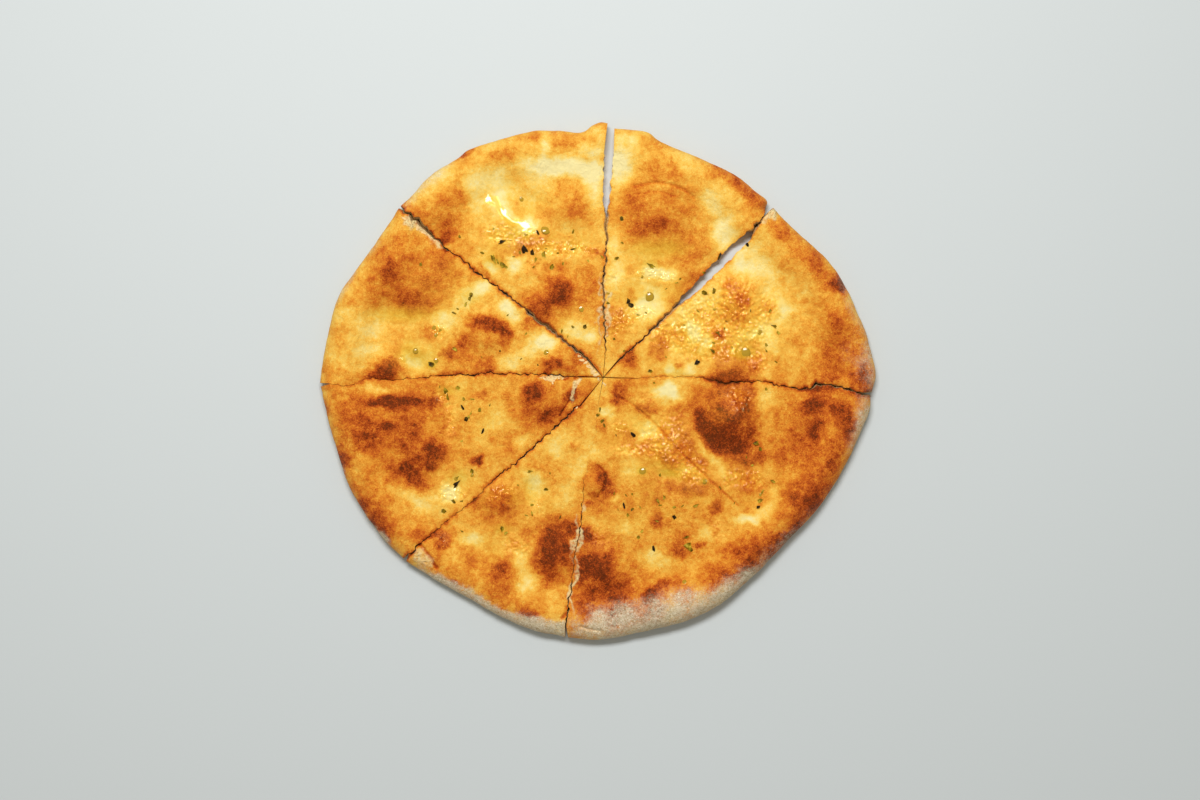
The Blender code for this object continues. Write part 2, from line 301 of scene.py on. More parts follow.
def waves(tree, per_mm, detail=3.0, roughness=0.55, swirl=0.0):
    """Random waves through the bread, so many to a millimetre, from 0 to 1."""
    spot = add(tree, "ShaderNodeTexCoord").outputs["Object"]
    return add(tree, "ShaderNodeTexNoise", {"Vector": spot, "Scale": per_mm / MM, "Detail": detail,
                                            "Roughness": roughness, "Distortion": swirl}).outputs[0]


def mark(tree, name):
    """One of the marks that the baking leaves on a slice, from 0 to 1."""
    return add(tree, "ShaderNodeAttribute", attribute_name=name).outputs["Fac"]


BROWNING = ((0.00, (250, 235, 170)), (0.12, (250, 221, 131)), (0.26, (249, 200, 88)), (0.40, (240, 170, 61)),
            (0.54, (223, 133, 38)), (0.68, (203, 99, 28)), (0.82, (166, 58, 12)), (1.00, (94, 24, 4)))

browning, given, result = effect("oven_browning", {"Toast": 0.3}, {"Color": "NodeSocketColor"})
coarse = arithmetic(browning, "SUBTRACT", waves(browning, 0.2, 4, 0.6), 0.5)
fine = arithmetic(browning, "SUBTRACT", waves(browning, 0.74, 5, 0.78, swirl=1.4), 0.5)
wavering = arithmetic(browning, "SUBTRACT", waves(browning, 0.4, 3, 0.6, swirl=1.6), 0.5)
from_crease = arithmetic(browning, "ABSOLUTE", wavering)
fibre = arithmetic(browning, "MULTIPLY_ADD", from_crease, -15.0, 1.0, clamp=True)
blotch = arithmetic(browning, "MULTIPLY_ADD", coarse, 0.26, arithmetic(browning, "MULTIPLY", fibre, -0.13))
grain = arithmetic(browning, "MULTIPLY_ADD", fine, 1.0, blotch)
depth = arithmetic(browning, "MULTIPLY_ADD", given["Toast"], 0.95, 0.3)
heat = arithmetic(browning, "MULTIPLY_ADD", grain, depth, given["Toast"], clamp=True)
ramp = add(browning, "ShaderNodeValToRGB", {0: heat})
for position, _ in BROWNING[1:-1]:
    ramp.color_ramp.elements.new(position)
for stop, (position, colour) in zip(ramp.color_ramp.elements, BROWNING):
    stop.color = paint(*colour)
browning.links.new(ramp.outputs[0], result.inputs["Color"])

dusting, given, result = effect("flour_dust", {"Amount": 0.0}, {"Mask": "NodeSocketFloat"})
speckle = arithmetic(dusting, "MULTIPLY_ADD", waves(dusting, 0.8, 6, 0.85, swirl=1.2), 3.4, -1.7)
cloud = arithmetic(dusting, "MULTIPLY_ADD", waves(dusting, 0.12, 4, 0.6), 1.6, -0.8)
lift = arithmetic(dusting, "ADD", arithmetic(dusting, "ADD", speckle, cloud), given["Amount"])
room = arithmetic(dusting, "MULTIPLY", given["Amount"], 2.0, clamp=True)
dusting.links.new(arithmetic(dusting, "MULTIPLY", lift, room, clamp=True), result.inputs["Mask"])

pores, given, result = effect("crumb_pores", {"Pores per mm": 0.8}, {"Height": "NodeSocketFloat"})
spot = add(pores, "ShaderNodeTexCoord").outputs["Object"]
pore_scale = arithmetic(pores, "DIVIDE", given["Pores per mm"], MM)
holes = add(pores, "ShaderNodeTexVoronoi", {"Vector": spot, "Scale": pore_scale})
hollow = add(pores, "ShaderNodeMapRange",
             {"Value": holes.outputs["Distance"], "From Min": 0.1, "From Max": 0.5})
threads = arithmetic(pores, "MULTIPLY", waves(pores, 1.2, 5, 0.7), 0.7)
pores.links.new(arithmetic(pores, "MULTIPLY_ADD", hollow.outputs[0], 0.5, threads, clamp=True),
                result.inputs["Height"])

baked_bread, tree, shader = plain_finish("baked_bread")
oil, flour, torn, green = (mark(tree, name) for name in ("oil", "flour", "torn", "green"))
crust = add(tree, "ShaderNodeGroup", {"Toast": mark(tree, "toast")}, node_tree=browning)
tinted = mixed(tree, arithmetic(tree, "MULTIPLY", green, 0.8), crust.outputs[0], paint(204, 180, 44))
dust = add(tree, "ShaderNodeGroup", {"Amount": flour}, node_tree=dusting)
clumps = arithmetic(tree, "MULTIPLY_ADD", waves(tree, 0.75, 5, 0.85, swirl=1.5), 4.2, -1.6, clamp=True)
flour_colour = mixed(tree, clumps, paint(172, 150, 108), paint(252, 244, 218))
dusted = mixed(tree, arithmetic(tree, "MULTIPLY", dust.outputs[0], 0.92), tinted, flour_colour)
crumb = add(tree, "ShaderNodeGroup", {}, node_tree=pores)
crumb_colour = mixed(tree, crumb.outputs[0], paint(222, 160, 84), paint(255, 236, 176))
tree.links.new(mixed(tree, torn, dusted, crumb_colour), shader.inputs["Base Color"])

# Oil makes the crust smooth, and where it lies thick it is a clear film on top; flour and crumb stay dry.
dry = arithmetic(tree, "MULTIPLY_ADD", dust.outputs[0], 0.25, 0.74)
wet = arithmetic(tree, "MAXIMUM", arithmetic(tree, "MULTIPLY_ADD", oil, -0.85, dry), 0.05)
tree.links.new(arithmetic(tree, "MULTIPLY_ADD", torn, 0.3, wet, clamp=True), shader.inputs["Roughness"])
bare = arithmetic(tree, "SUBTRACT", 1.0, arithmetic(tree, "MAXIMUM", dust.outputs[0], torn))
glazed = arithmetic(tree, "MULTIPLY_ADD", oil, 0.9, -0.43, clamp=True)
film = arithmetic(tree, "MULTIPLY_ADD", mark(tree, "pool"), 0.5, glazed)
tree.links.new(arithmetic(tree, "MULTIPLY", film, bare, clamp=True), shader.inputs["Coat Weight"])
shader.inputs["Coat Roughness"].default_value = 0.03
shader.inputs["Coat IOR"].default_value = 1.47
shader.inputs["Coat Tint"].default_value = paint(255, 238, 160)
shader.inputs["Specular IOR Level"].default_value = 0.55
shader.inputs["Specular Tint"].default_value = paint(255, 226, 140)

# The dry skin is wrinkled, the oily one is finely folded, and a pool of oil is level.
wrinkles = waves(tree, 0.5, 6, 0.7, swirl=0.8)
grains = arithmetic(tree, "MULTIPLY_ADD", waves(tree, 2.0, 3, 0.6), 0.3, wrinkles)
dry_skin = arithmetic(tree, "MULTIPLY", grains, arithmetic(tree, "SUBTRACT", 1.0, oil))
winding = arithmetic(tree, "ABSOLUTE", arithmetic(tree, "SUBTRACT", waves(tree, 0.8, 1, 0.5, swirl=1.3), 0.5))
still = arithmetic(tree, "SUBTRACT", oil, mark(tree, "pool"), clamp=True)
skin = arithmetic(tree, "MULTIPLY_ADD", arithmetic(tree, "MULTIPLY", winding, -0.35), still, dry_skin)
relief = arithmetic(tree, "MULTIPLY_ADD", crumb.outputs[0], arithmetic(tree, "MULTIPLY", torn, 1.6), skin)
bump = add(tree, "ShaderNodeBump", {"Height": relief, "Strength": 0.9, "Distance": 0.8 * MM})
tree.links.new(bump.outputs[0], shader.inputs["Normal"])

PLAIN_TOAST = 0.385                                               # how brown the plain crust is, 0 to 1
MIDDLE_TOAST = 0.43                                               # paler spots get paler, darker ones darker
TOAST_SPREAD = 1.26
CRISP_EDGE = math.radians(62)                                     # an edge sharper than this isn't smoothed


def wheel_wear_and_shade(top, cuts, walls):
    """How far the wheel wore the crust beside a slice's two cuts, 0 to 1; the same share also darkens the
    crust there as painted shade.
    """
    wear_and_shade = np.zeros(len(top))
    for cut, wall in zip(cuts, walls):
        from_wall = distance_to_path(top, wall)
        close = from_wall < 4
        open_here = SHARPNESS[cut] * np.clip(gape_beside(top[close], cut) / 0.3, 0, 1)
        wear_and_shade[close] = np.maximum(wear_and_shade[close], open_here * np.exp(-(from_wall[close] / 0.9) ** 1.5))
    return wear_and_shade


def torn_walls(lip, inward, lip_height, full, bite, gape):
    """Rows of points down the walls of torn crumb, and how bare the crumb is at each. The walls lean into
    the gap further down, so that a narrow cut closes at its foot."""
    closing = (0.5 * np.minimum(gape, 2.4) + 0.1) * np.clip((3.4 - gape) / 1.2, 0, 1)
    rows, wall_torn = [], []
    for share in np.arange(1, WALL_ROWS) / WALL_ROWS:
        level = lip_height - full * share
        rough = 0.35 + 0.3 * ripple(lip + level[:, None], 1.7, 36, 3)
        lean = 0.3 * rough * math.sin(math.pi * share) - closing * min(1.6 * share, 1)
        sink = lean * np.clip(full / 5, 0, 1)
        rows.append(np.column_stack([lip + inward * sink[:, None], level]))
        # Sharper cuts bare less crumb, so their walls keep the darkened crust colour, painted shade inside the
        # cut.
        laid_open = np.clip(np.minimum(share, 1 - share) * full / (0.8 + 3.0 * bite), 0, 1)
        wall_torn.append(laid_open * min(1.3 - share, 1))
    return rows, np.concatenate(wall_torn)


def wall_faces(grid):
    """The faces between the rows of a wall, with fewer corners where two of them are one point."""
    faces = []
    for upper, lower in zip(grid, grid[1:]):
        for ring in zip(upper, upper[1:], lower[1:], lower):
            faces.append(tuple(dict.fromkeys(int(number) for number in ring)))
    return faces


def bread_mesh(name, points, faces):
    """A mesh of baked bread from points in millimetres, and the numbers of the points that its faces use."""
    faces = [face for face in faces if len(set(face)) > 2]
    used, numbers = np.unique(np.concatenate([np.array(face) for face in faces]), return_inverse=True)
    ends = np.cumsum([len(face) for face in faces])
    faces = [row.tolist() for row in np.split(numbers, ends[:-1])]
    mesh = bpy.data.meshes.new(name)
    mesh.from_pydata((points[used] * MM).tolist(), [], faces)
    mesh.materials.append(baked_bread)
    return mesh, used


def bake_slice(name, cuts, rim_points, swellings=(), brown=(), oil=(), flour=(), green=(), bubbly=(),
               tears=(), pools=(), torn_off=()):
    """Makes one slice as a closed mesh with its marks, and puts it in the place of its plain solid."""
    outline, first_count, last_count = slice_outline(*cuts, rim_points)
    edge = len(outline)
    rim = outline[first_count + 1:edge - last_count]
    walls = np.vstack([rim[-1:], outline[edge - last_count:], outline[:first_count + 1], rim[:1]])
    spots = filling(outline, rim, walls, EDGE_RINGS, SPACING)
    top = np.vstack([outline, spots])
    inset = distance_to_path(top, rim)
    steady = np.clip(inset / CROWN_INSET, 0, 1)
    wear_and_shade = wheel_wear_and_shade(top, cuts, (outline[:first_count + 1], outline[edge - last_count:]))

    # The marks: browning with painted shade and a painted highlight, pools and films of oil, flour, a green
    # tint that also paints shade below two blisters, and bared crumb.
    loose = top + np.column_stack([2.3 * ripple(top, 10, 21, 3) + 0.8 * ripple(top, 3, 25),
                                   2.3 * ripple(top, 10, 22, 3) + 0.8 * ripple(top, 3, 26)])
    small, grain = ripple(top, 7, 31, 3), ripple(top, 2.6, 23, 3)
    bubbles = np.clip(patches(loose, bubbly), 0, 1)
    domes = bubble_domes(top, 1.9, bubbles) + 0.6 * bubble_domes(top, 0.95, bubbles)
    # Painted shade: the crust gets darker towards the bottom and the right, where the light falls off, on top
    # of browning.
    shade_and_heat_low_right = 0.06 * np.clip((12 - top[:, 1]) / 40, 0, 1)
    shade_and_heat_low_right += 0.025 * np.clip((top[:, 0] - top[:, 1]) / 100, 0, 1)
    toast = PLAIN_TOAST + shade_and_heat_low_right + patches(loose, brown) + 0.05 * ripple(top, 18, 24, 3)
    toast += (0.04 + 0.14 * np.clip(toast, 0, 1)) * small + (0.03 + 0.08 * np.clip(toast, 0, 1)) * grain
    # Beside the cuts the crust is darkened by the wheel's share, as painted shade in the cut lines.
    toast += 0.1 * bubbles * (domes - 0.9) + 0.34 * wear_and_shade * np.clip(0.7 + ripple(top, 4, 37), 0, 1)
    toast = MIDDLE_TOAST + TOAST_SPREAD * (toast - MIDDLE_TOAST)
    pool = np.clip(patches(top + 0.8 * (loose - top), pools), 0, 1)
    wet = np.clip(0.3 * patches(loose, oil) + 0.9 * bubbles + pool, 0, 1)
    handled = 1 + 0.6 * np.exp(-(inset / 5) ** 2)
    dusty = np.clip(patches(loose, flour) * handled + 0.08 * np.exp(-(inset / 3) ** 2), 0, 1)
    steeped = 0.3 * patches(loose, oil) * np.clip(0.5 + ripple(top, 12, 51), 0, 1)
    tint = np.clip(patches(top, green) + steeped, 0, 1)
    bared = patches(top + 1.6 * (loose - top), torn_off)
    torn = np.clip(1.3 * bared - 0.15 + 0.5 * ripple(top, 2, 52), 0, 1) * (bared > 0.05)

    # The crust: swellings, bubbles and folds, level pools, worn lips of the cuts, and tears.
    height = dough_height(top, inset, swellings)
    folds = 1 - 2.2 * np.abs(ripple(top, 2.3, 27))
    firm = np.clip(inset / 3.5, 0, 1)
    uneven = 0.42 * small + 0.16 * grain + bubbles * (0.18 * domes + 0.55 * folds)
    height += firm * (1 - pool) * uneven + 0.2 * pool
    height -= 0.6 * torn * steady
    pressed = np.minimum(0.5 + 0.35 * ripple(top, 5, 33), 0.4 * (height - EDGE_HEIGHT + 1))
    height -= pressed * wear_and_shade * steady
    # A tear's last number darkens it as painted shade in the crack.
    for path, width, depth, crumb_share, crack_shade in tears:
        away = distance_to_path(top, smooth_curve(path, SPACING)) / (width * (1 + 0.4 * ripple(top, 3, 35)))
        fall = np.exp(-away ** 2.4)
        height -= depth * fall
        toast += crack_shade * fall
        torn = np.maximum(torn, np.clip(crumb_share * 1.6 * fall - 0.2, 0, 1))
    height = np.maximum(height, underside_height(inset) + np.minimum(inset, 1.5) * 0.5)
    rim_numbers = np.arange(first_count + 1, edge - last_count)
    height[rim_numbers] = EDGE_HEIGHT

    # The underside, whose outermost line is the rim's own.
    under = np.vstack([outline, filling(outline, rim, walls, EDGE_RINGS, UNDERSIDE_SPACING)])
    under_inset = distance_to_path(under, rim)
    under_height = underside_height(under_inset)
    count, under_count = len(top), len(under)
    under_number = np.arange(under_count) + count
    under_number[rim_numbers] = rim_numbers

    # The torn walls along both cuts, in one run from the rim to the tip and back to the rim.
    column = np.concatenate([np.arange(edge - last_count, edge), np.arange(0, first_count + 1)])
    lip = outline[column]
    full = height[column] - under_height[column]
    bite = np.repeat([SHARPNESS[cuts[1]], SHARPNESS[cuts[0]]], [last_count, first_count + 1])
    gape = np.concatenate([gape_beside(lip[:last_count], cuts[1]), gape_beside(lip[last_count:], cuts[0])])
    rows, wall_torn = torn_walls(lip, -sideways(walls)[1:-1], height[column], full, bite, gape)
    points = np.vstack([np.column_stack([top, height]), np.column_stack([under, under_height])] + rows)

    # One closed skin of top, walls and underside.
    wall_number = count + under_count + np.arange((WALL_ROWS - 1) * len(column)).reshape(WALL_ROWS - 1, -1)
    grid = np.vstack([column, wall_number, under_number[column]])
    ends = np.ones((WALL_ROWS + 1, 1), int)
    grid = np.hstack([ends * rim_numbers[-1], grid, ends * rim_numbers[0]])
    top_faces = list(triangles(outline, spots))
    under_faces = [tuple(int(under_number[number]) for number in reversed(face))
                   for face in triangles(outline, under[edge:])]
    mesh, used = bread_mesh(name + "_bread", points, top_faces + wall_faces(grid) + under_faces)

    # The underside is scorched and floury, and takes up the rim's looks at its edge.
    rim_toast_and_shade, rim_flour = toast[rim_numbers].mean(), dusty[rim_numbers].mean()
    scorch = 0.34 + 0.5 * np.clip(ripple(under, 14, 41, 3) + 0.15, 0, 1)
    from_rim = np.clip(under_inset / 9, 0, 1)
    under_toast = (0.2 + 0.3 * rim_toast_and_shade) * (1 - from_rim) + scorch * from_rim
    under_flour = (0.4 + 0.4 * ripple(under, 18, 42)) * from_rim + (rim_flour + 0.1) * (1 - from_rim)
    blank_under, blank_wall = np.zeros(under_count), np.zeros(len(wall_torn))
    # The walls take the crust's colour, darker the harder the wheel bit, as painted shade inside the cuts.
    values = {"toast": (toast, under_toast, np.tile(toast[column] + 0.1 + 0.25 * bite, WALL_ROWS - 1)),
              "oil": (wet, blank_under, blank_wall), "flour": (dusty, under_flour, blank_wall),
              "torn": (torn, blank_under, wall_torn), "green": (tint, blank_under, blank_wall),
              "pool": (pool, blank_under, blank_wall)}
    for title, parts in values.items():
        attribute = mesh.attributes.new(title, "FLOAT", "POINT")
        attribute.data.foreach_set("value", np.clip(np.concatenate(parts)[used], 0, 1).astype(np.float32))
    mesh.shade_smooth()
    mesh.set_sharp_from_angle(angle=CRISP_EDGE)
    piece = bpy.data.objects.new(name + "_bread", mesh)
    bpy.context.scene.collection.objects.link(piece)
    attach(piece, "root")
    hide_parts(name)
    return piece


# ------------------------------------------------------------------------------------------------ slice one
# From noon to half past one: a big wrinkled blister near the rim, and a pool of oil near the tip.
# Here and in the other slices, a patch is x, y, half length, half width, its turn if it has one, strength.
slice_one = bake_slice(
    "slice_one", ("noon", "half_past_one"),
    ((8.2, 126.3), (20, 125.5), (26, 124), (30, 120.6), (40, 116), (52, 111), (68, 103.4),
     (78, 95.6), (84.5, 90.2), (83.6, 86)),
    swellings=(
        (30, 88, 24, 5.0), (26, 42, 14, -1.6), (62, 72, 13, -1.2), (10, 30, 9, 0.8), (46, 47, 10, -1.5),
        (57, 58, 11, -1.7), (67, 68, 10, -1.2)),
    brown=(
        (10, 105, 7, 12, 10, -0.3), (12, 119, 7, 5, -0.12), (29, 116, 7, 6, -20, 0.08), (35, 104, 8, 5, 0.13),
        (45, 107, 4, 5, -20, -0.14), (61, 104, 13, 4, -25, 0.14), (75, 96, 12, 5, -40, 0.2),
        (78, 88, 7, 7, -40, 0.12), (29, 86, 20, 18, 0.15), (28, 77, 16, 8, -5, 0.13), (15, 88, 4, 7, 20, 0.1),
        (27, 91, 4, 3, -0.1), (33, 98, 7, 2, 10, -0.08), (33, 79, 3, 2, 0.1), (46, 62, 6, 4, 0.14),
        (50, 53, 9, 6, 40, 0.15), (49, 69, 7, 8, 0.12), (57, 90, 6, 8, 20, -0.12), (63, 74, 6, 8, -10, -0.26),
        (8, 68, 4, 6, -0.12), (9, 54, 4, 7, -0.14), (31, 54, 10, 3, -5, -0.26), (27, 53, 3, 2, -0.1),
        (25, 37, 9, 8, -0.3), (16, 42, 2.4, 4, 0.3), (8, 29, 8, 9, -30, 0.15), (44, 47, 12, 2.5, 45, 0.14),
        (14, 13, 4, 2, 45, 0.25), (17, 56, 4, 4, 0.06), (37, 61, 8, 13, 0.11), (21, 55, 5, 4, 0.07),
        (12, 98, 5, 5, 0.09), (25, 92, 21, 15, 0.05), (33, 85, 5, 4, -0.04), (19, 112, 7, 6, -0.08),
        (44, 113, 6, 3, -0.12), (22, 122, 12, 3, -0.08), (58, 90, 6, 5, -0.06), (67, 99, 8, 5, -30, 0.08),
        (28, 32, 6, 9, 0.1), (8, 34, 5, 5, 0.08), (4, 19, 3, 4, -0.1), (15, 43, 3, 4, -0.08)),
    tears=((((18, 97), (30, 98.6), (42, 95.5), (48, 91)), 0.8, 0.7, 0.0, 0.12),
           (((20, 93), (29, 94.4), (38, 92)), 0.6, 0.5, 0.0, 0.1)),
    oil=((28, 45, 20, 14, 0.9), (12, 30, 10, 12, 0.5), (60, 74, 10, 8, 0.4), (30, 68, 18, 6, 0.5)),
    # The olive tint at (30, 66) is oil and the painted shade on the lower side of the big blister.
    green=((30, 66, 14, 5, 0.35), (25.5, 42, 1.9, 1.9, 0.8), (25.5, 42, 6, 6, 0.15), (26, 58, 5, 3, 0.3)),
    bubbly=((10, 30, 7, 8, 0.8), (28, 53, 12, 3, 0.9), (22, 33, 10, 4, 0.8), (8, 52, 4, 5, 0.6),
            (8, 66, 4, 4, 0.5)),
    torn_off=((4.2, 34, 20, 0.7, 89, 0.6),),
)

# ------------------------------------------------------------------------------------------------ slice two
# From half past one to three: oily bubbles and herbs in its inner half, browned and floury at the rim.
slice_two = bake_slice(
    "slice_two", ("half_past_one", "three"),
    ((87.8, 86.5), (98, 76), (113, 62.5), (121.5, 51.5), (128, 38.5), (134, 24), (138, 9.5), (139, 1.8),
     (137, -4.9)),
    swellings=((70, 42, 16, 3.0), (117, 28, 14, 1.8), (67, 6, 12, 2.0), (74, 14, 8, -1.2), (87, 83, 9, -3.0)),
    brown=(
        (93, 75, 9, 6, -45, 0.2), (106, 62, 9, 6, -50, 0.15), (110, 60, 4, 5, -45, 0.1),
        (120, 48, 4.5, 5, -60, 0.4), (113, 52, 8, 6, -50, 0.15), (78, 60, 12, 7, -25, -0.25),
        (70, 58, 4, 3, -0.1), (72, 67, 5, 3, 60, -0.15), (93, 37, 6, 4, -0.14), (85, 37, 3, 4, 0.08),
        (69, 40, 10, 12, 0.12), (67, 34, 5, 5, 0.12), (73, 39, 3.5, 3, 0.25), (60, 23, 3, 3, 0.2),
        (50, 33, 4, 3, 0.12), (48, 24, 4, 5, 10, -0.33), (53, 19, 5, 5, -0.2), (45, 36, 5, 6, -0.14),
        (78, 24, 6, 3, 20, -0.2), (86, 20, 4, 6, -0.15), (34, 23, 8, 5, 20, 0.1), (30, 15, 4.5, 5.5, 0.24),
        (15, 11, 5, 5, 0.36), (37, 6, 4, 3, -0.2), (46, 6, 4, 3, -0.18), (40, 8, 2, 1.6, 0.2),
        (68, 7, 12, 6, 0.2), (63, 2, 8, 4, 10, 0.2), (75, 1, 6, 4, 0.15), (79, 8, 4, 5, 0.1),
        (91, 4, 4, 5, 0.1), (98, 18, 5, 4, 0.08), (118, 27, 11, 13, -30, 0.14), (123, 23, 6, 9, 20, 0.1),
        (119, 30, 3, 3, 0.04), (119, 9, 12, 9, 0.18), (124, 3, 4, 3, 0.12), (103, 40, 1.8, 1.8, 0.15),
        (73, 14, 4, 2.5, 0.1), (85, 78, 8, 3, -50, 0.1), (83, 50, 6, 6, -0.1), (90, 35, 6, 8, -0.07),
        (67, 47, 4, 3, 0.08), (47, 37, 4, 5, 0.12), (40, 22, 4, 4, 0.14), (62, 14, 5, 5, 0.2),
        (50, 20, 4, 7, 0.08), (30, 18, 8, 8, 0.05), (78, 63, 4, 4, 0.07), (97, 66, 5, 4, -45, 0.06),
        (110, 50, 5, 4, 0.07), (122, 45, 3, 6, 20, 0.14), (103, 20, 6, 5, 0.06), (88, 8, 6, 6, 0.09),
        (79, 12, 4, 3, 0.08), (127, 17, 6, 5, 0.12), (134, 8, 4, 10, 0.22), (132, 0, 7, 6, 0.25),
        (110, 2, 9, 5, 0.1), (62, 0, 12, 3, 0.08), (120, 30, 4, 4, -0.08), (117, 21, 14, 16, 0.04)),
    oil=((65, 25, 28, 18, 20, 1.0), (35, 20, 15, 12, 0.7)),
    flour=((133, 23, 4.5, 16, 15, 0.2), (134, 5, 6, 10, 0.26), (124, 43, 4, 9, 25, 0.16),
           (127, 12, 6, 9, 0.12)),
    green=((73, 14, 6, 3.4, 0.6), (81, 24, 3, 3, 0.4), (37, 5, 6, 3, 0.2)),
    bubbly=((67, 42, 13, 12, 1.0), (63, 23, 25, 13, 10, 1.0), (34, 23, 9, 8, 0.8), (80, 8, 6, 6, 0.8),
            (47, 38, 9, 8, 0.9), (85, 36, 5, 9, 0.6)),
    torn_off=((85.5, 84, 4, 1.6, 30, 1.0), (87.5, 82, 2.2, 2.8, 0.9), (82.5, 80.5, 2.4, 1.1, 55, 0.8)),
)

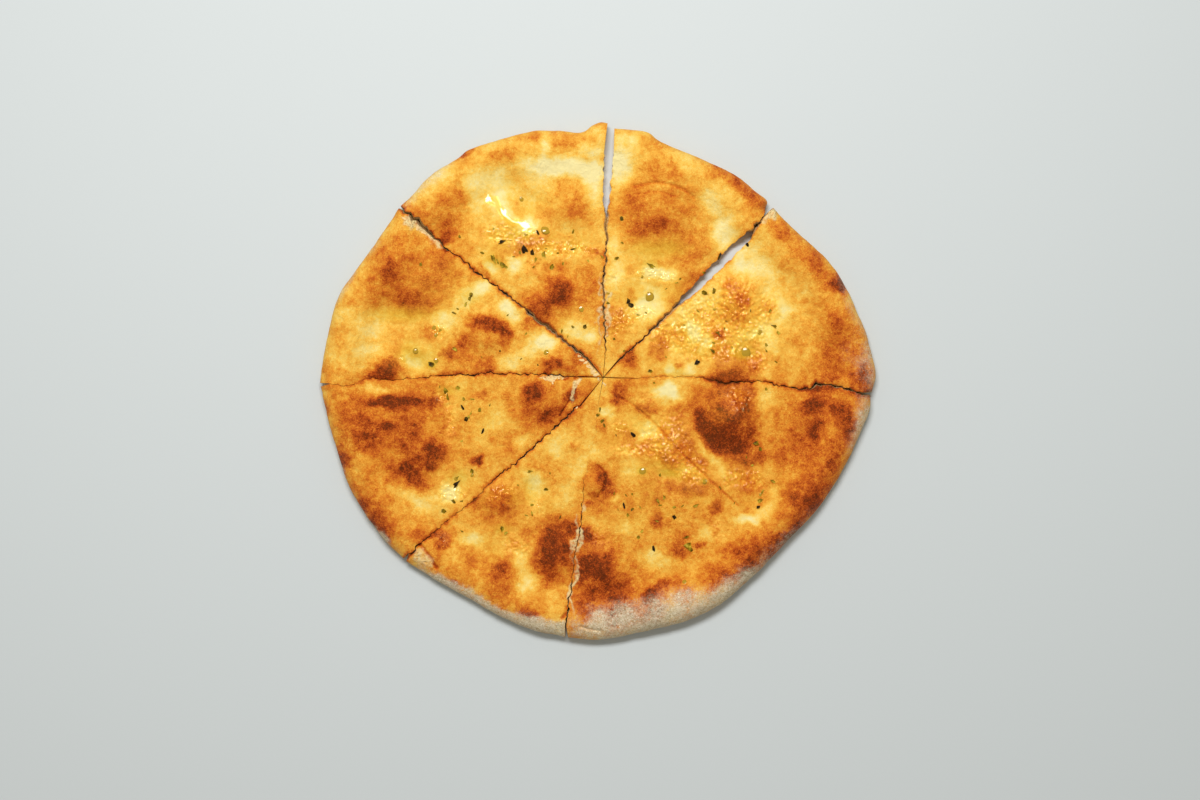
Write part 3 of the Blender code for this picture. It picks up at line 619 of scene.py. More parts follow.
# ----------------------------------------------------------------------------------------------- wide slice
# From three to six: two slices in one, because the wheel only scored the crust between them. It has the
# darkest blister, and the most flour along its rim.
slice_wide = bake_slice(
    "slice_wide", ("three", "six"),
    ((136.2, -7.4), (136.2, -14), (130.6, -27.6), (121.6, -46), (110, -64), (92, -83), (78.5, -97),
     (61, -111.7), (44, -120), (24, -125.2), (2, -129.4), (-14.8, -128.2)),
    swellings=(
        (66, -17, 19, 5.5), (108, -15, 15, 2.0), (34, -36, 13, 2.2), (2, -95, 16, 3.0), (28, -104, 12, 2.0),
        (78, -86, 14, 1.8), (-1, -52, 8, 2.2), (84, -58, 12, -1.4)),
    brown=(
        (112, -3, 10, 3, -5, 0.25), (130, -6, 6, 2.5, -5, 0.2), (107, -12, 6, 5, 20, 0.21),
        (108, -24, 4, 7, 0.24), (121, -14, 5, 4, 0.22), (114, -16, 16, 12, 0.17), (98, -32, 10, 9, 0.1),
        (103, -36, 14, 12, 0.13), (86, -10, 3.5, 12, -0.12), (64, -17, 13, 15, 0.3), (53, -24, 4, 8, 25, 0.2),
        (75, -29, 4, 6, -35, 0.12), (66, -33, 9, 4.5, -15, 0.36), (73, -13, 4, 7, 0.15), (63, 0, 7, 3, 0.25),
        (75, -6, 6, 7, 0.15), (78, -28, 5, 8, 0.12), (80, -38, 10, 4, 0.12), (49, -14, 6, 7, 0.15),
        (40, -17, 6, 5, 0.1), (35, -5, 5, 5.5, -0.36), (12, -5, 6, 4.5, -20, 0.3), (9, -10, 4, 3, 0.15),
        (25, -14, 6, 3, 0.2), (5, -15, 4, 3, -0.25), (24, -24, 6, 6, -30, -0.22), (0, -22, 5, 5, 0.12),
        (14, -27, 5, 3, 0.12), (-1, -36, 8, 4, -0.1), (16, -43, 5, 8, 20, -0.1), (29, -37, 5, 3, -25, 0.18),
        (35, -40, 5, 3, -25, 0.14), (44, -36, 9, 7, -30, 0.16), (56, -37, 11, 3, -50, -0.2),
        (62, -46, 4, 3, -50, -0.1), (45, -53, 12, 4, 0.14), (73, -52, 8, 5, -20, 0.16),
        (87, -57, 3.5, 7, -10, -0.18), (82, -66, 7, 3, 30, -0.2), (73, -69, 6, 3, -0.27),
        # The dark patches along the lower right rim, from (119, -42) to (72, -98), are browning and painted
        # shade.
        (59, -62.5, 3.5, 3.5, 0.28), (119, -42, 5, 5, 60, 0.15), (112, -55, 10, 6, 55, 0.26),
        (104, -65, 9, 6, 55, 0.3), (95, -78, 9, 6, 45, 0.36), (80, -90, 11, 7, 30, 0.3),
        (72, -98, 6, 4, 20, 0.2), (61, -94, 7, 4, 0.16), (66, -85, 9, 7, 0.13), (30, -58, 3, 4, 0.15),
        (29, -71, 4, 4, 0.2), (40, -83, 4, 6, 20, 0.22), (44, -78, 3, 3, 0.12), (51, -82, 3, 2, 0.2),
        (29, -89, 8, 5, -0.2), (53, -75, 4, 5, -0.16), (14, -73, 6, 4, -20, -0.12), (8, -58, 3, 2, -0.14),
        (3, -51, 5, 6, 30, 0.35), (0, -45, 4, 5, 0.15), (-2, -61, 6, 5, 0.25), (-5, -77, 5, 4, 0.32),
        (2, -82, 8, 8, 0.17), (-5, -93, 7, 6, 20, 0.4), (2, -96, 7, 5, 0.28), (-6, -86, 4, 5, 0.2),
        (5, -90, 5, 5, 0.18), (9, -104, 8, 7, 30, 0.34), (-4, -103, 9, 7, 0.22), (-6, -112, 9, 5, 0.2),
        (27, -106, 5, 5, 45, 0.3), (34, -101, 6, 3, 20, 0.22), (57, -5, 9, 3, 0.15), (75, -5, 5, 5, 0.12),
        (80, -13, 3, 5, 0.16), (77, -22, 5, 6, 0.08), (25, -10, 5, 4, 0.12), (40, -26, 6, 4, 0.12),
        (10, -28, 5, 4, 0.08), (50, -38, 5, 4, 0.12), (66, -39, 5, 4, 0.12), (78, -43, 5, 6, 0.12),
        (100, -54, 9, 7, 20, 0.28), (118, -38, 5, 10, -20, 0.22), (124, -23, 5, 7, -20, 0.25),
        (104, -3, 6, 3, 0.1), (118, -8, 8, 6, 0.06), (72, -82, 8, 5, 20, 0.2), (85, -78, 6, 4, 30, 0.18),
        (62, -100, 8, 4, 20, 0.2), (45, -75, 5, 5, 0.08), (9, -93, 4, 4, 0.1), (28, -112, 6, 7, 0.3),
        (12, -117, 16, 6, 0.28), (42, -107, 6, 5, 0.14), (33, -50, 5, 4, 0.05), (55, -13, 4, 4, -0.1),
        (63, -22, 4, 3, -0.08), (43, -36, 3, 3, -0.08), (12, -36, 5, 3, -0.1), (58, -82, 6, 6, -0.12),
        (83, -55, 4, 4, -0.06), (93, -38, 4, 3, -0.08), (35, -65, 6, 4, -0.05), (10, -75, 6, 5, -0.05),
        (45, -93, 6, 4, -0.06), (107, -46, 6, 6, 0.1), (92, -62, 7, 9, 0.08), (92, -80, 8, 5, 45, 0.12),
        (54, -96, 7, 5, 0.12), (30, -102, 8, 4, 0.1), (74, -74, 8, 4, 0.07), (12, -13, 8, 4, 0.1),
        (80, -34, 5, 6, 0.08), (14, -54, 6, 5, 0.06), (92, -18, 4, 5, 0.08), (20, -28, 7, 4, -0.07),
        (66, -42, 10, 3, 0.08), (62, -29, 9, 6, -10, 0.22), (53, -20, 3, 8, 15, 0.1),
        (81, -10, 2.5, 6, -0.16), (50, -52, 8, 5, 0.07), (88, -54, 4, 6, 0.06)),
    oil=((30, -35, 30, 18, -35, 0.9), (66, -12, 14, 10, 0.4), (75, -52, 18, 12, 0.6),
         (20, -60, 25, 14, 0.5)),
    flour=((30, -118, 40, 11, 6, 0.7), (68, -104, 18, 8, 35, 0.6), (130, -25, 4.5, 11, -25, 0.32),
           (-2, -122, 15, 6, 0.35), (132, -14, 5, 9, 0.3), (44, -111, 14, 8, 20, 0.3),
           (90, -82, 20, 4, 45, 0.2)),
    green=((22, -45, 2.2, 1.8, 0.8), (53, -50, 2, 1.8, 0.5), (35, -46, 5, 2, -10, 0.4)),
    bubbly=((34, -33, 15, 9, -30, 1.0), (46, -44, 10, 7, -30, 1.0), (72, -49, 11, 5, 1.0),
            (71, -9, 8, 7, 0.9), (10, -23, 6, 4, 0.7), (15, -35, 12, 3, 0.7), (0, -78, 6, 7, 0.6),
            (38, -22, 8, 6, -30, 0.7), (59, -74, 4, 6, 0.6), (25, -8, 6, 4, 0.5)),
    tears=((((11, -8), (17, -11.5), (25, -18), (33, -26), (46, -40), (61, -54), (70, -62)),
            0.55, 0.6, 0.0, 0.17),
           (((0, -42), (4, -47), (3, -53), (0, -58)), 0.7, 0.8, 0.0, 0.2),
           (((-9, -122), (-4, -123.6), (1, -124.4)), 0.6, 0.8, 0.0, 0.05)),
    torn_off=((-9, -76, 12, 0.9, 82, 0.7), (-12.6, -101, 13, 1.0, 82, 0.8)),
)

# ---------------------------------------------------------------------------------------------- slice seven
# From six to half past seven: a long dark blister beside the cut, and a crack where the rim was pinched.
slice_seven = bake_slice(
    "slice_seven", ("six", "half_past_seven"),
    ((-16.6, -128), (-34, -124.2), (-51, -116.6), (-67, -107.4), (-81, -99.8), (-95.8, -90.2)),
    swellings=((-22, -87, 15, 3.4), (-50, -57, 13, 2.8), (-48, -95, 13, 2.0), (-32, -55, 9, -1.2)),
    brown=(
        (-21, -80, 9, 12, -10, 0.36), (-18, -85, 6, 6, 0.12), (-26, -92, 6, 9, 10, 0.3),
        (-13, -73, 5, 5, 0.2), (-49, -60, 11, 8, 0.2), (-46, -61, 4, 4, 0.12), (-62, -62, 4, 4, 0.16),
        (-32, -53, 5, 8, -0.17), (-17, -56, 5, 11, -15, -0.18), (-19, -31, 8, 8, 20, -0.14),
        (-39, -46, 4, 4, -0.1), (-9, -42, 3, 8, -30, -0.14), (-64, -78, 6, 4, -0.22),
        (-39, -89, 4, 5, -0.18), (-34, -100, 6, 5, -0.2), (-22, -111, 5, 6, -0.1),
        (-48, -94, 5, 4.5, 0.22), (-48, -98, 8, 10, 0.13), (-78, -80, 5, 5, 0.3), (-89, -77, 5, 3, 0.2),
        (-81, -74, 7, 5, 0.12), (-62, -89, 4, 3, 0.16), (-34, -117, 5, 4, 0.28), (-34, -114, 8, 6, 0.1),
        (-71, -101, 5, 2, -20, 0.16), (-36, -76, 4, 4, 0.12), (-12, -96, 4, 8, 0.1),
        (-58, -98, 10, 7, -20, 0.08), (-6, -63, 6, 6, 0.1), (-27, -76, 6, 6, 0.1), (-16, -87, 4, 5, 0.1),
        (-48, -107, 8, 5, 0.1), (-28, -101, 5, 4, 0.06), (-62, -55, 5, 4, 0.06), (-50, -69, 6, 3, 0.06),
        (-25, -42, 8, 4, 0.06), (-12, -20, 6, 6, 0.08), (-80, -90, 3, 4, 0.12), (-25, -62, 6, 4, -0.08),
        (-62, -74, 6, 4, -0.07), (-50, -94, 4, 4, -0.08), (-35, -95, 4, 5, -0.1), (-23, -93, 4, 3, -0.08),
        (-18, -121, 5, 5, -0.12), (-34, -35, 5, 4, -0.06), (-33, -50, 4, 4, -0.06),
        (-60, -112, 34, 3, -28, 0.1)),
    oil=((-40, -60, 20, 14, 0.6), (-55, -85, 16, 8, 0.5)),
    flour=((-26, -123, 20, 5, -12, 0.8), (-62, -109.5, 28, 4.4, -29, 0.95)),
    green=((-33, -54, 4, 8, 0.16), (-48, -74, 4, 3, 0.3)),
    bubbly=((-48, -57, 8, 6, 0.8), (-40, -83, 10, 6, -30, 0.6), (-78, -78, 4, 4, 0.6),
            (-32, -63, 5, 5, 0.4)),
    tears=((((-88.5, -81.5), (-84, -87), (-80.5, -93)), 0.8, 1.2, 0.0, 0.3),
           (((-88.5, -81.5), (-92.5, -86), (-95, -88.6)), 0.6, 0.8, 0.0, 0.2),
           (((-15.5, -112.5), (-15, -114.5), (-18, -118)), 0.9, 1.0, 0.0, 0.3)),
    torn_off=((-88, -89, 5, 3.4, -35, 0.6), (-10.6, -78, 10, 0.8, 82, 0.7), (-14, -104, 12, 0.9, 82, 0.8)),
)

# ---------------------------------------------------------------------------------------------- slice eight
# From half past seven to nine: a wide low blister covers its outer half, with a scorched fold across it.
slice_eight = bake_slice(
    "slice_eight", ("half_past_seven", "nine"),
    ((-97.4, -88.6), (-106, -80.4), (-117, -65.6), (-125.6, -50), (-132.4, -29), (-136.8, -12),
     (-138.6, -2.8)),
    swellings=((-103, -24, 33, 3.2), (-27, -8, 15, 3.2), (-84, -38, 12, 1.8), (-36, -30, 13, -0.9),
               (-66, -52, 13, -1.2)),
    brown=(
        (-103, -22, 31, 25, 0.2), (-101, -10.5, 17, 3, 0.34), (-82, -9, 5, 4, 0.24), (-117, -22, 7, 8, 0.12),
        (-115, -31, 5, 5, 0.2), (-105, -23, 5, 4, 0.18), (-93, -24, 5, 8, 0.13), (-128, -15, 4, 8, 0.12),
        (-82, -37, 8, 7, 0.27), (-90, -42, 10, 5, 25, 0.2), (-95, -46, 7, 5, 0.18), (-92, -50, 7, 4, 0.12),
        (-110, -4, 8, 2.5, -10, -0.2), (-84, -23, 5, 6, -0.1), (-112, -43, 9, 7, -0.14),
        (-127, -42, 5, 6, -30, 0.32), (-97, -56, 8, 4, -20, -0.18), (-85, -62, 9, 6, -10, -0.16),
        (-74, -56, 5, 5, -0.28), (-111, -70, 7, 10, 30, 0.3), (-107, -79, 3, 4, 30, 0.15),
        (-118, -56, 4, 5, 0.14), (-60, -40, 3.5, 2.5, 0.42), (-71, -14, 4, 12, -20, -0.1),
        (-51, -17, 6, 9, -0.08), (-56, -31, 6, 5, -0.08), (-33, -5, 6, 5, 0.33), (-29, -11, 12, 12, 0.2),
        (-24, -18, 7, 4, 20, 0.22), (-36, -13, 3, 4, 0.12), (-14, -8, 6, 3, 40, 0.3),
        (-38, -29, 6, 3, 40, -0.14), (-45, -33, 5, 3, 0.08), (-59, -7, 4, 3, 0.14), (-6, -2, 4, 4, 0.15),
        # The dark patches along the lower left rim edge, at (-131, -40), (-138, -14), (-119, -66) and (-104,
        # -83), are painted shade.
        (-131, -40, 3.5, 13, -20, 0.28), (-138, -14, 3, 9, 0.2), (-119, -66, 3, 13, -40, 0.2),
        (-104, -83, 4, 5, 0.15), (-110, -46, 9, 7, 30, 0.14), (-105, -40, 5, 4, 0.06),
        (-90, -53, 8, 4, 0.15), (-103, -68, 4, 5, 0.12), (-90, -76, 7, 4, 0.12), (-63, -6, 6, 4, 0.1),
        (-80, -7, 4, 4, 0.08), (-93, -13, 6, 3, 0.08), (-76, -24, 4, 4, 0.12), (-67, -38, 4, 5, 0.08),
        (-43, -13, 4, 6, 0.12), (-47, -27, 8, 5, 0.1), (-15, -1, 4, 4, 0.2), (-10, -8, 8, 4, 0.1),
        (-32, -6, 5, 7, -0.13), (-115, -24, 6, 5, -0.08), (-86, -40, 4, 8, -0.1), (-70, -46, 4, 4, -0.08),
        (-108, -8, 6, 3, -0.08)),
    oil=((-70, -50, 12, 12, 0.8), (-62, -12, 12, 12, 0.6)),
    flour=((-110, -79, 14, 4, -48, 0.6), (-127, -50, 3, 8, 20, 0.4)),
    green=((-76, -5, 5, 3, 0.35), (-70, -48, 6, 4, 0.2)),
    bubbly=((-78, -8, 3, 4, -20, 0.7), (-74, -20, 3, 12, 0.7), (-74, -57, 8, 5, 0.7)),
    tears=((((-12, 2.5), (-11, -3), (-14, -9), (-19, -17)), 0.5, 0.7, 0.0, 0.25),
           (((-30, 2.4), (-22, 0.4), (-15, 0.8)), 0.35, 0.4, 0.0, 0.2)),
    torn_off=((-23, 1.6, 6, 1.2, 6, 1.0), (-10.5, -1.5, 1.3, 4, -20, 1.0), (-13.5, -8, 0.9, 3.5, -25, 0.8)),
)

# ------------------------------------------------------------------------------------------------ slice ten
# From nine to half past ten: one high round blister, and oil that ran down into the hollow below it.
slice_ten = bake_slice(
    "slice_ten", ("nine", "half_past_ten"),
    ((-139, -0.9), (-138, 8), (-134.8, 25.5), (-129, 44), (-119.6, 57.4), (-110, 71), (-103.6, 80.4),
     (-99.8, 86.2)),
    swellings=(
        (-93, 56, 26, 5.0), (-55, 25, 15, 3.0), (-19, 9, 11, 2.4), (-106, 6, 10, 2.6), (-104, 29, 17, -1.4),
        (-90, 8, 8, -1.6), (-88, 75, 9, -2.6)),
    brown=(
        # The patch at (-97, 42) is browning and the painted shade on the lower side of the big blister.
        (-95, 51, 23, 17, 0.2), (-104, 55, 5, 8, 0.12), (-97, 42, 9, 4, 0.13), (-79, 62, 7, 6, 0.12),
        (-106, 65, 4, 4, 0.06), (-98, 70, 6, 4, 0.1), (-80, 54, 5, 5, 0.06), (-126, 38, 5, 4, 0.12),
        (-130, 24, 5, 4, 0.12), (-118, 54, 3, 4, -0.1), (-135, 8, 2.5, 5, 0.12), (-112, 27, 10, 6, -20, -0.13),
        (-114, 15, 7, 4, -0.18), (-77, 30, 6, 6, -40, -0.25), (-66, 41, 8, 5, 40, -0.14),
        (-58, 46, 6, 4, -0.22), (-45, 36, 4.5, 7, 40, -0.28), (-94, 11, 6, 3, -30, -0.2),
        (-90, 7, 4, 4, -0.1), (-43, 10, 8, 4, 10, -0.18), (-27, 20, 8, 4, -0.33), (-34, 14, 4, 3, -0.14),
        (-85, 23, 5, 4, 0.12), (-51, 27, 9, 4, -15, 0.35), (-47, 22, 4, 5, 0.2), (-61, 29, 7, 4, 0.17),
        (-67, 19, 4, 4, 0.18), (-75, 14, 4, 4, 0.25), (-61, 15, 13, 9, 0.13), (-55, 8, 4, 5, 0.12),
        (-70, 5, 8, 2, 0.15), (-105, 5, 8, 6, 10, 0.42), (-113, 3, 7, 3, 0.16), (-24, 8, 6, 4, 10, 0.35),
        (-14, 8, 6, 6, 0.25), (-35, 29, 4, 3, 0.22), (-82, 66, 5, 4, 0.12), (-66, 52, 5, 6, 0.1),
        (-55, 27, 6, 5, 0.16), (-92, 36, 12, 5, 0.08), (-79, 27, 6, 4, 0.1), (-97, 48, 6, 4, 0.08),
        (-120, 43, 5, 6, 0.06), (-100, 16, 3, 3, 0.12), (-35, 21, 4, 3, 0.08), (-23, 13, 5, 4, 0.08),
        (-12, 11, 6, 3, -40, 0.1), (-120, 24, 8, 6, -0.08), (-62, 38, 5, 4, -0.08), (-43, 22, 3, 5, -0.06),
        (-128, 33, 4, 5, -0.06), (-110, 50, 4, 10, 0.05), (-70, 10, 8, 6, 0.1), (-71, 55, 6, 7, 0.08),
        (-51, 43, 6, 5, 0.08), (-104, 67, 7, 5, 0.07), (-68, 21, 4, 6, 0.06), (-92, 37, 10, 5, 0.07),
        (-35, 20, 5, 4, 0.05)),
    oil=((-92, 14, 16, 10, 1.0), (-62, 42, 18, 7, 30, 0.5), (-78, 50, 12, 12, 0.4), (-93, 34, 16, 6, 0.6)),
    flour=((-126, 48, 12, 3, 62, 0.24), (-112, 69, 12, 3, 54, 0.2)),
    # The olive tint at (-98, 33) is oil and the painted shade at the foot of the big blister.
    green=((-98, 33, 18, 4, 0.35), (-83, 8, 2.2, 1.8, 0.7), (-90, 12, 9, 7, 0.3), (-64, 42, 5, 4, 0.2)),
    bubbly=((-80, 25, 4.5, 4, 1.0), (-97, 11, 3, 2, 0.7)),
    tears=((((-94, 81.5), (-90, 79), (-87, 77)), 1.2, 1.0, 0.0, 0.4),),
    torn_off=((-95, 80, 4, 3, -45, 1.0), (-87.5, 74, 7, 2.4, -35, 1.0), (-79, 68.5, 3, 1.2, -35, 0.7),
              (-6.5, 10.2, 4.6, 0.9, -48, 0.9), (-2.2, 5.6, 3.4, 1.0, -46, 1.0)),
)

# --------------------------------------------------------------------------------------------- slice eleven
# From half past ten to noon: pale and bubbly with a pool of oil across it, and two scorched blisters below.
slice_eleven = bake_slice(
    "slice_eleven", ("half_past_ten", "noon"),
    ((-98.6, 87.6), (-92, 94), (-83.6, 103), (-71, 111), (-64, 116), (-50, 120.6), (-34, 124.8),
     (-20, 125.4), (-8.6, 124.6), (-3.4, 127.4), (1, 129.5), (4.8, 128.9)),
    swellings=(
        (-14, 87, 15, 2.8), (-78, 86, 15, 2.8), (-19, 44, 13, 2.8), (-30, 37, 9, 1.8), (-49, 101, 14, -1.7),
        (-41, 93, 14, -1.7), (-33, 86, 12, -1.5)),
    brown=(
        (-16, 106, 22, 5, -4, -0.34), (-2, 98, 5, 12, -0.22), (-26, 117, 3, 6, -0.2), (-5, 115, 9, 3, -0.2),
        (-35, 121, 8, 3, 10, 0.14), (-15, 119.5, 10, 5, -15, 0.16), (-49, 112, 9, 5, 10, 0.12),
        (-50, 112, 3, 2, 0.08), (-66, 110, 7, 4, 25, 0.08), (-82, 103, 10, 5, 45, -0.06),
        (-78, 87, 12, 14, 20, 0.18), (-90, 84, 8, 4, -45, 0.14), (-75, 76, 6, 6, 40, 0.22),
        # The pale patches at (-51, 92), (-45, 84) and (-36, 77) are a painted highlight along the streak of
        # oil.
        (-76.5, 70.5, 4, 2.2, 0.24), (-67, 66, 6, 4, -20, 0.12), (-51, 92, 4, 5, -40, -0.2),
        (-45, 84, 7, 3, -45, -0.28), (-36, 77, 4, 5, -20, -0.35), (-62, 93, 4, 10, 10, -0.16),
        (-55, 100, 8, 5, -0.1), (-14, 90, 13, 12, 0.09), (-13, 86, 6, 6, 0.1), (-40, 86, 5, 4, 0.06),
        (-4, 65, 4, 3, 0.18), (3, 62, 3, 4, 0.14), (-54, 57, 5, 3, -30, -0.2), (-42, 58, 3.5, 5, -0.25),
        (-14, 46, 19, 15, 0.17), (-19, 44, 7, 7, 30, 0.29), (-29, 36, 6, 6, 30, 0.29),
        (-24, 40, 5, 4, -20, 0.1), (-20, 57, 6, 3, 0.12), (2, 37, 5, 6, 0.1), (-8, 25, 9, 5, -10, -0.2),
        (-3, 20, 4, 3, -0.15), (-55, 51, 10, 2.5, -42, 0.12), (-38, 64, 5, 2, 0.1), (1, 126, 4, 3, 0.04),
        (-68, 88, 4, 8, 0.03), (-84, 96, 12, 6, 45, -0.2), (-53, 86, 6, 9, -20, -0.13),
        (-26, 68, 23, 5, 0.14), (-35, 71, 10, 5, 0.08), (-75, 73, 5, 4, 0.06), (-66, 60, 5, 6, 0.08),
        (-34, 41, 5, 5, 0.12), (-25, 30, 5, 4, 0.12), (-17, 44, 7, 6, -0.08), (-28, 51, 5, 4, -0.06),
        (-55, 57, 5, 3, -0.05), (-20, 122, 8, 3, -0.07), (0, 124, 4, 4, -0.1), (-60, 108, 8, 5, -0.07),
        (-85, 82, 6, 4, -0.05), (-15, 79, 8, 4, -0.06), (-30, 100, 9, 6, -0.08), (-45, 118, 10, 3, 15, -0.06),
        (0, 9, 5, 4, 0.08), (-7, 14, 6, 3, -40, 0.1), (-1, 27, 7, 5, 0.14), (-29, 121, 5, 4, 0.12),
        (-14, 113, 5, 4, 40, 0.1), (-35, 43, 5, 5, 0.07), (-66, 114, 5, 1.6, 30, 0.3),
        (-46, 98, 9, 6, -35, -0.09)),
    oil=((-40, 80, 20, 14, 1.0), (-30, 68, 30, 8, 0.9), (-15, 25, 15, 12, 0.4)),
    flour=((-85, 99, 15, 3.4, 44, 0.28),),
    green=((-52, 60, 5, 4, 0.4), (-48, 96, 10, 6, 0.12)),
    bubbly=((-45, 74, 12, 5, 0.9), (-18, 66, 20, 4, 0.9), (-33, 57, 6, 4, 0.6)),
    pools=((-53, 91, 3.4, 3, -50, 1.0), (-48, 85, 8, 2, -52, 1.0), (-40, 78.5, 7, 2.4, -24, 1.0)),
    torn_off=((2.4, 34, 20, 0.7, 89, 0.6),),
)


# ------------------------------------------------------------------------------------------- the dried herbs
# Dried oregano and basil, rubbed between the fingers over the oiled dough: curled flakes 1 to 5 mm long,
# some scorched nearly black. They lie where they fell, pressed into the crust.


def small_shape(name, points, faces):
    """A closed mesh from points in millimetres, outside the scene, to be scattered."""
    mesh = bpy.data.meshes.new(name)
    mesh.from_pydata([tuple(part * MM for part in point) for point in points], [], faces)
    return bpy.data.objects.new(name, mesh)


def flake(name, length, width, curl, corners):
    """A thin curled bit of leaf with a ragged outline."""
    dice = random.Random(name)
    outer = []
    for number in range(corners):
        turn = 2 * math.pi * number / corners
        reach = dice.uniform(0.5, 1.0)
        outer.append((length / 2 * reach * math.cos(turn), width / 2 * reach * math.sin(turn)))
    points = []
    for side, thickness in ((1, 0.07), (-1, 0.0)):
        for share in (1.0, 0.5):
            for x, y in outer:
                bend = curl * ((y * share / width) ** 2 * 4 - 0.6 * (x * share / length) ** 2 * 4)
                points.append((x * share, y * share, bend + thickness))
        points.append((0, 0, thickness + 0.03 * side))
    half = 2 * corners + 1
    faces = []
    for here in range(corners):
        there = (here + 1) % corners
        faces.append((here, there, corners + there, corners + here))
        faces.append((corners + here, corners + there, half - 1))
        faces.append((half + there, half + here, half + corners + here, half + corners + there))
        faces.append((half + corners + there, half + corners + here, 2 * half - 1))
        faces.append((there, here, half + here, half + there))
    return small_shape(name, points, faces)


def hidden_group(name, shapes):
    """A collection that holds the shapes to be scattered, outside the scene."""
    group = bpy.data.collections.new(name)
    for shape in shapes:
        group.objects.link(shape)
    return group


def scatter_tree(name):
    """Geometry Nodes that drop shapes onto the crust, each turned and tilted by chance, as one plain mesh."""
    made = bpy.data.node_groups.new(name, "GeometryNodeTree")
    for title, kind in (("Spots", "Geometry"), ("Bread", "Object"), ("Shapes", "Collection"),
                        ("Material", "Material"), ("Sink", "Float"), ("Tilt", "Float"), ("Seed", "Int")):
        made.interface.new_socket(title, in_out="INPUT", socket_type="NodeSocket" + kind)
    made.interface.new_socket("Mesh", in_out="OUTPUT", socket_type="NodeSocketGeometry")
    given = made.nodes.new("NodeGroupInput").outputs
    bread = add(made, "GeometryNodeObjectInfo", {"Object": given["Bread"]})
    spot = add(made, "GeometryNodeInputPosition")
    above = add(made, "ShaderNodeVectorMath", {0: spot.outputs[0], 1: (0, 0, 40 * MM)}, operation="ADD")
    drop = add(made, "GeometryNodeRaycast",
               {"Target Geometry": bread.outputs["Geometry"], "Source Position": above.outputs[0],
                "Ray Direction": (0, 0, -1), "Ray Length": 0.1})
    missed = add(made, "FunctionNodeBooleanMath", {0: drop.outputs["Is Hit"]}, operation="NOT")
    caught = add(made, "GeometryNodeDeleteGeometry",
                 {"Geometry": given["Spots"], "Selection": missed.outputs[0]})
    sunk = add(made, "ShaderNodeVectorMath", {0: drop.outputs["Hit Normal"], "Scale": given["Sink"]},
               operation="SCALE")
    upright = add(made, "FunctionNodeAlignRotationToVector", {"Vector": drop.outputs["Hit Normal"]}, axis="Z")
    slack = add(made, "ShaderNodeMath", {0: given["Tilt"], 1: -1.0}, operation="MULTIPLY")
    low = add(made, "ShaderNodeCombineXYZ", {"X": slack.outputs[0], "Y": slack.outputs[0], "Z": -math.pi})
    high = add(made, "ShaderNodeCombineXYZ", {"X": given["Tilt"], "Y": given["Tilt"], "Z": math.pi})
    chance = add(made, "FunctionNodeRandomValue",
                 {0: low.outputs[0], 1: high.outputs[0], "Seed": given["Seed"]}, data_type="FLOAT_VECTOR")
    swing = add(made, "FunctionNodeEulerToRotation", {"Euler": chance.outputs[0]})
    turned = add(made, "FunctionNodeRotateRotation",
                 {"Rotation": upright.outputs[0], "Rotate By": swing.outputs[0]}, rotation_space="LOCAL")
    # The turn is worked out above the crust and stored, because the spots move when they land.
    stored = add(made, "GeometryNodeStoreNamedAttribute",
                 {"Geometry": caught.outputs[0], "Name": "turned"}, data_type="QUATERNION")
    store = next(socket for socket in stored.inputs if socket.type == "ROTATION" and socket.enabled)
    made.links.new(turned.outputs[0], store)
    landed = add(made, "GeometryNodeSetPosition",
                 {"Geometry": stored.outputs[0], "Selection": drop.outputs["Is Hit"],
                  "Position": drop.outputs["Hit Position"], "Offset": sunk.outputs[0]})
    kept = add(made, "GeometryNodeInputNamedAttribute", {"Name": "turned"}, data_type="QUATERNION")
    turn = next(socket for socket in kept.outputs if socket.type == "ROTATION" and socket.enabled)
    size = add(made, "GeometryNodeInputNamedAttribute", {"Name": "size"}, data_type="FLOAT")
    shapes = add(made, "GeometryNodeCollectionInfo",
                 {"Collection": given["Shapes"], "Separate Children": True, "Reset Children": True})
    placed = add(made, "GeometryNodeInstanceOnPoints",
                 {"Points": landed.outputs[0], "Instance": shapes.outputs[0], "Pick Instance": True,
                  "Rotation": turn, "Scale": size.outputs[0]})
    real = add(made, "GeometryNodeRealizeInstances", {"Geometry": placed.outputs[0]})
    painted = add(made, "GeometryNodeSetMaterial",
                  {"Geometry": real.outputs[0], "Material": given["Material"]})
    made.links.new(painted.outputs[0], made.nodes.new("NodeGroupOutput").inputs[0])
    return made


dropping = scatter_tree("dropped_on_the_crust")


def drop_on(bread, kind, spots, shapes, material, sink=0.0, tilt=0.0, seed=1):
    """Scatters shapes at the spots of one slice and leaves them as one plain mesh that lies on its crust."""
    mesh = bpy.data.meshes.new("spots")
    mesh.from_pydata([(x * MM, y * MM, 0) for x, y, *rest in spots], [], [])
    for title, values in (("size", [spot[2] for spot in spots]), ("char", [len(spot) - 3 for spot in spots])):
        mesh.attributes.new(title, "FLOAT", "POINT").data.foreach_set("value", values)
    holder = bpy.data.objects.new("spots", mesh)
    bpy.context.scene.collection.objects.link(holder)
    modifier = holder.modifiers.new("drop", "NODES")
    modifier.node_group = dropping
    settings = {"Bread": bread, "Shapes": shapes, "Material": material, "Sink": -sink * MM,
                "Tilt": tilt, "Seed": seed}
    for socket in dropping.interface.items_tree:
        if socket.name in settings:
            modifier[socket.identifier] = settings[socket.name]
    made = bpy.data.meshes.new_from_object(holder.evaluated_get(bpy.context.evaluated_depsgraph_get()))
    bpy.data.objects.remove(holder)
    name = bread.name.replace("_bread", "_" + kind)
    made.name = name
    piece = bpy.data.objects.new(name, made)
    bpy.context.scene.collection.objects.link(piece)
    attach(piece, "root")
    return piece


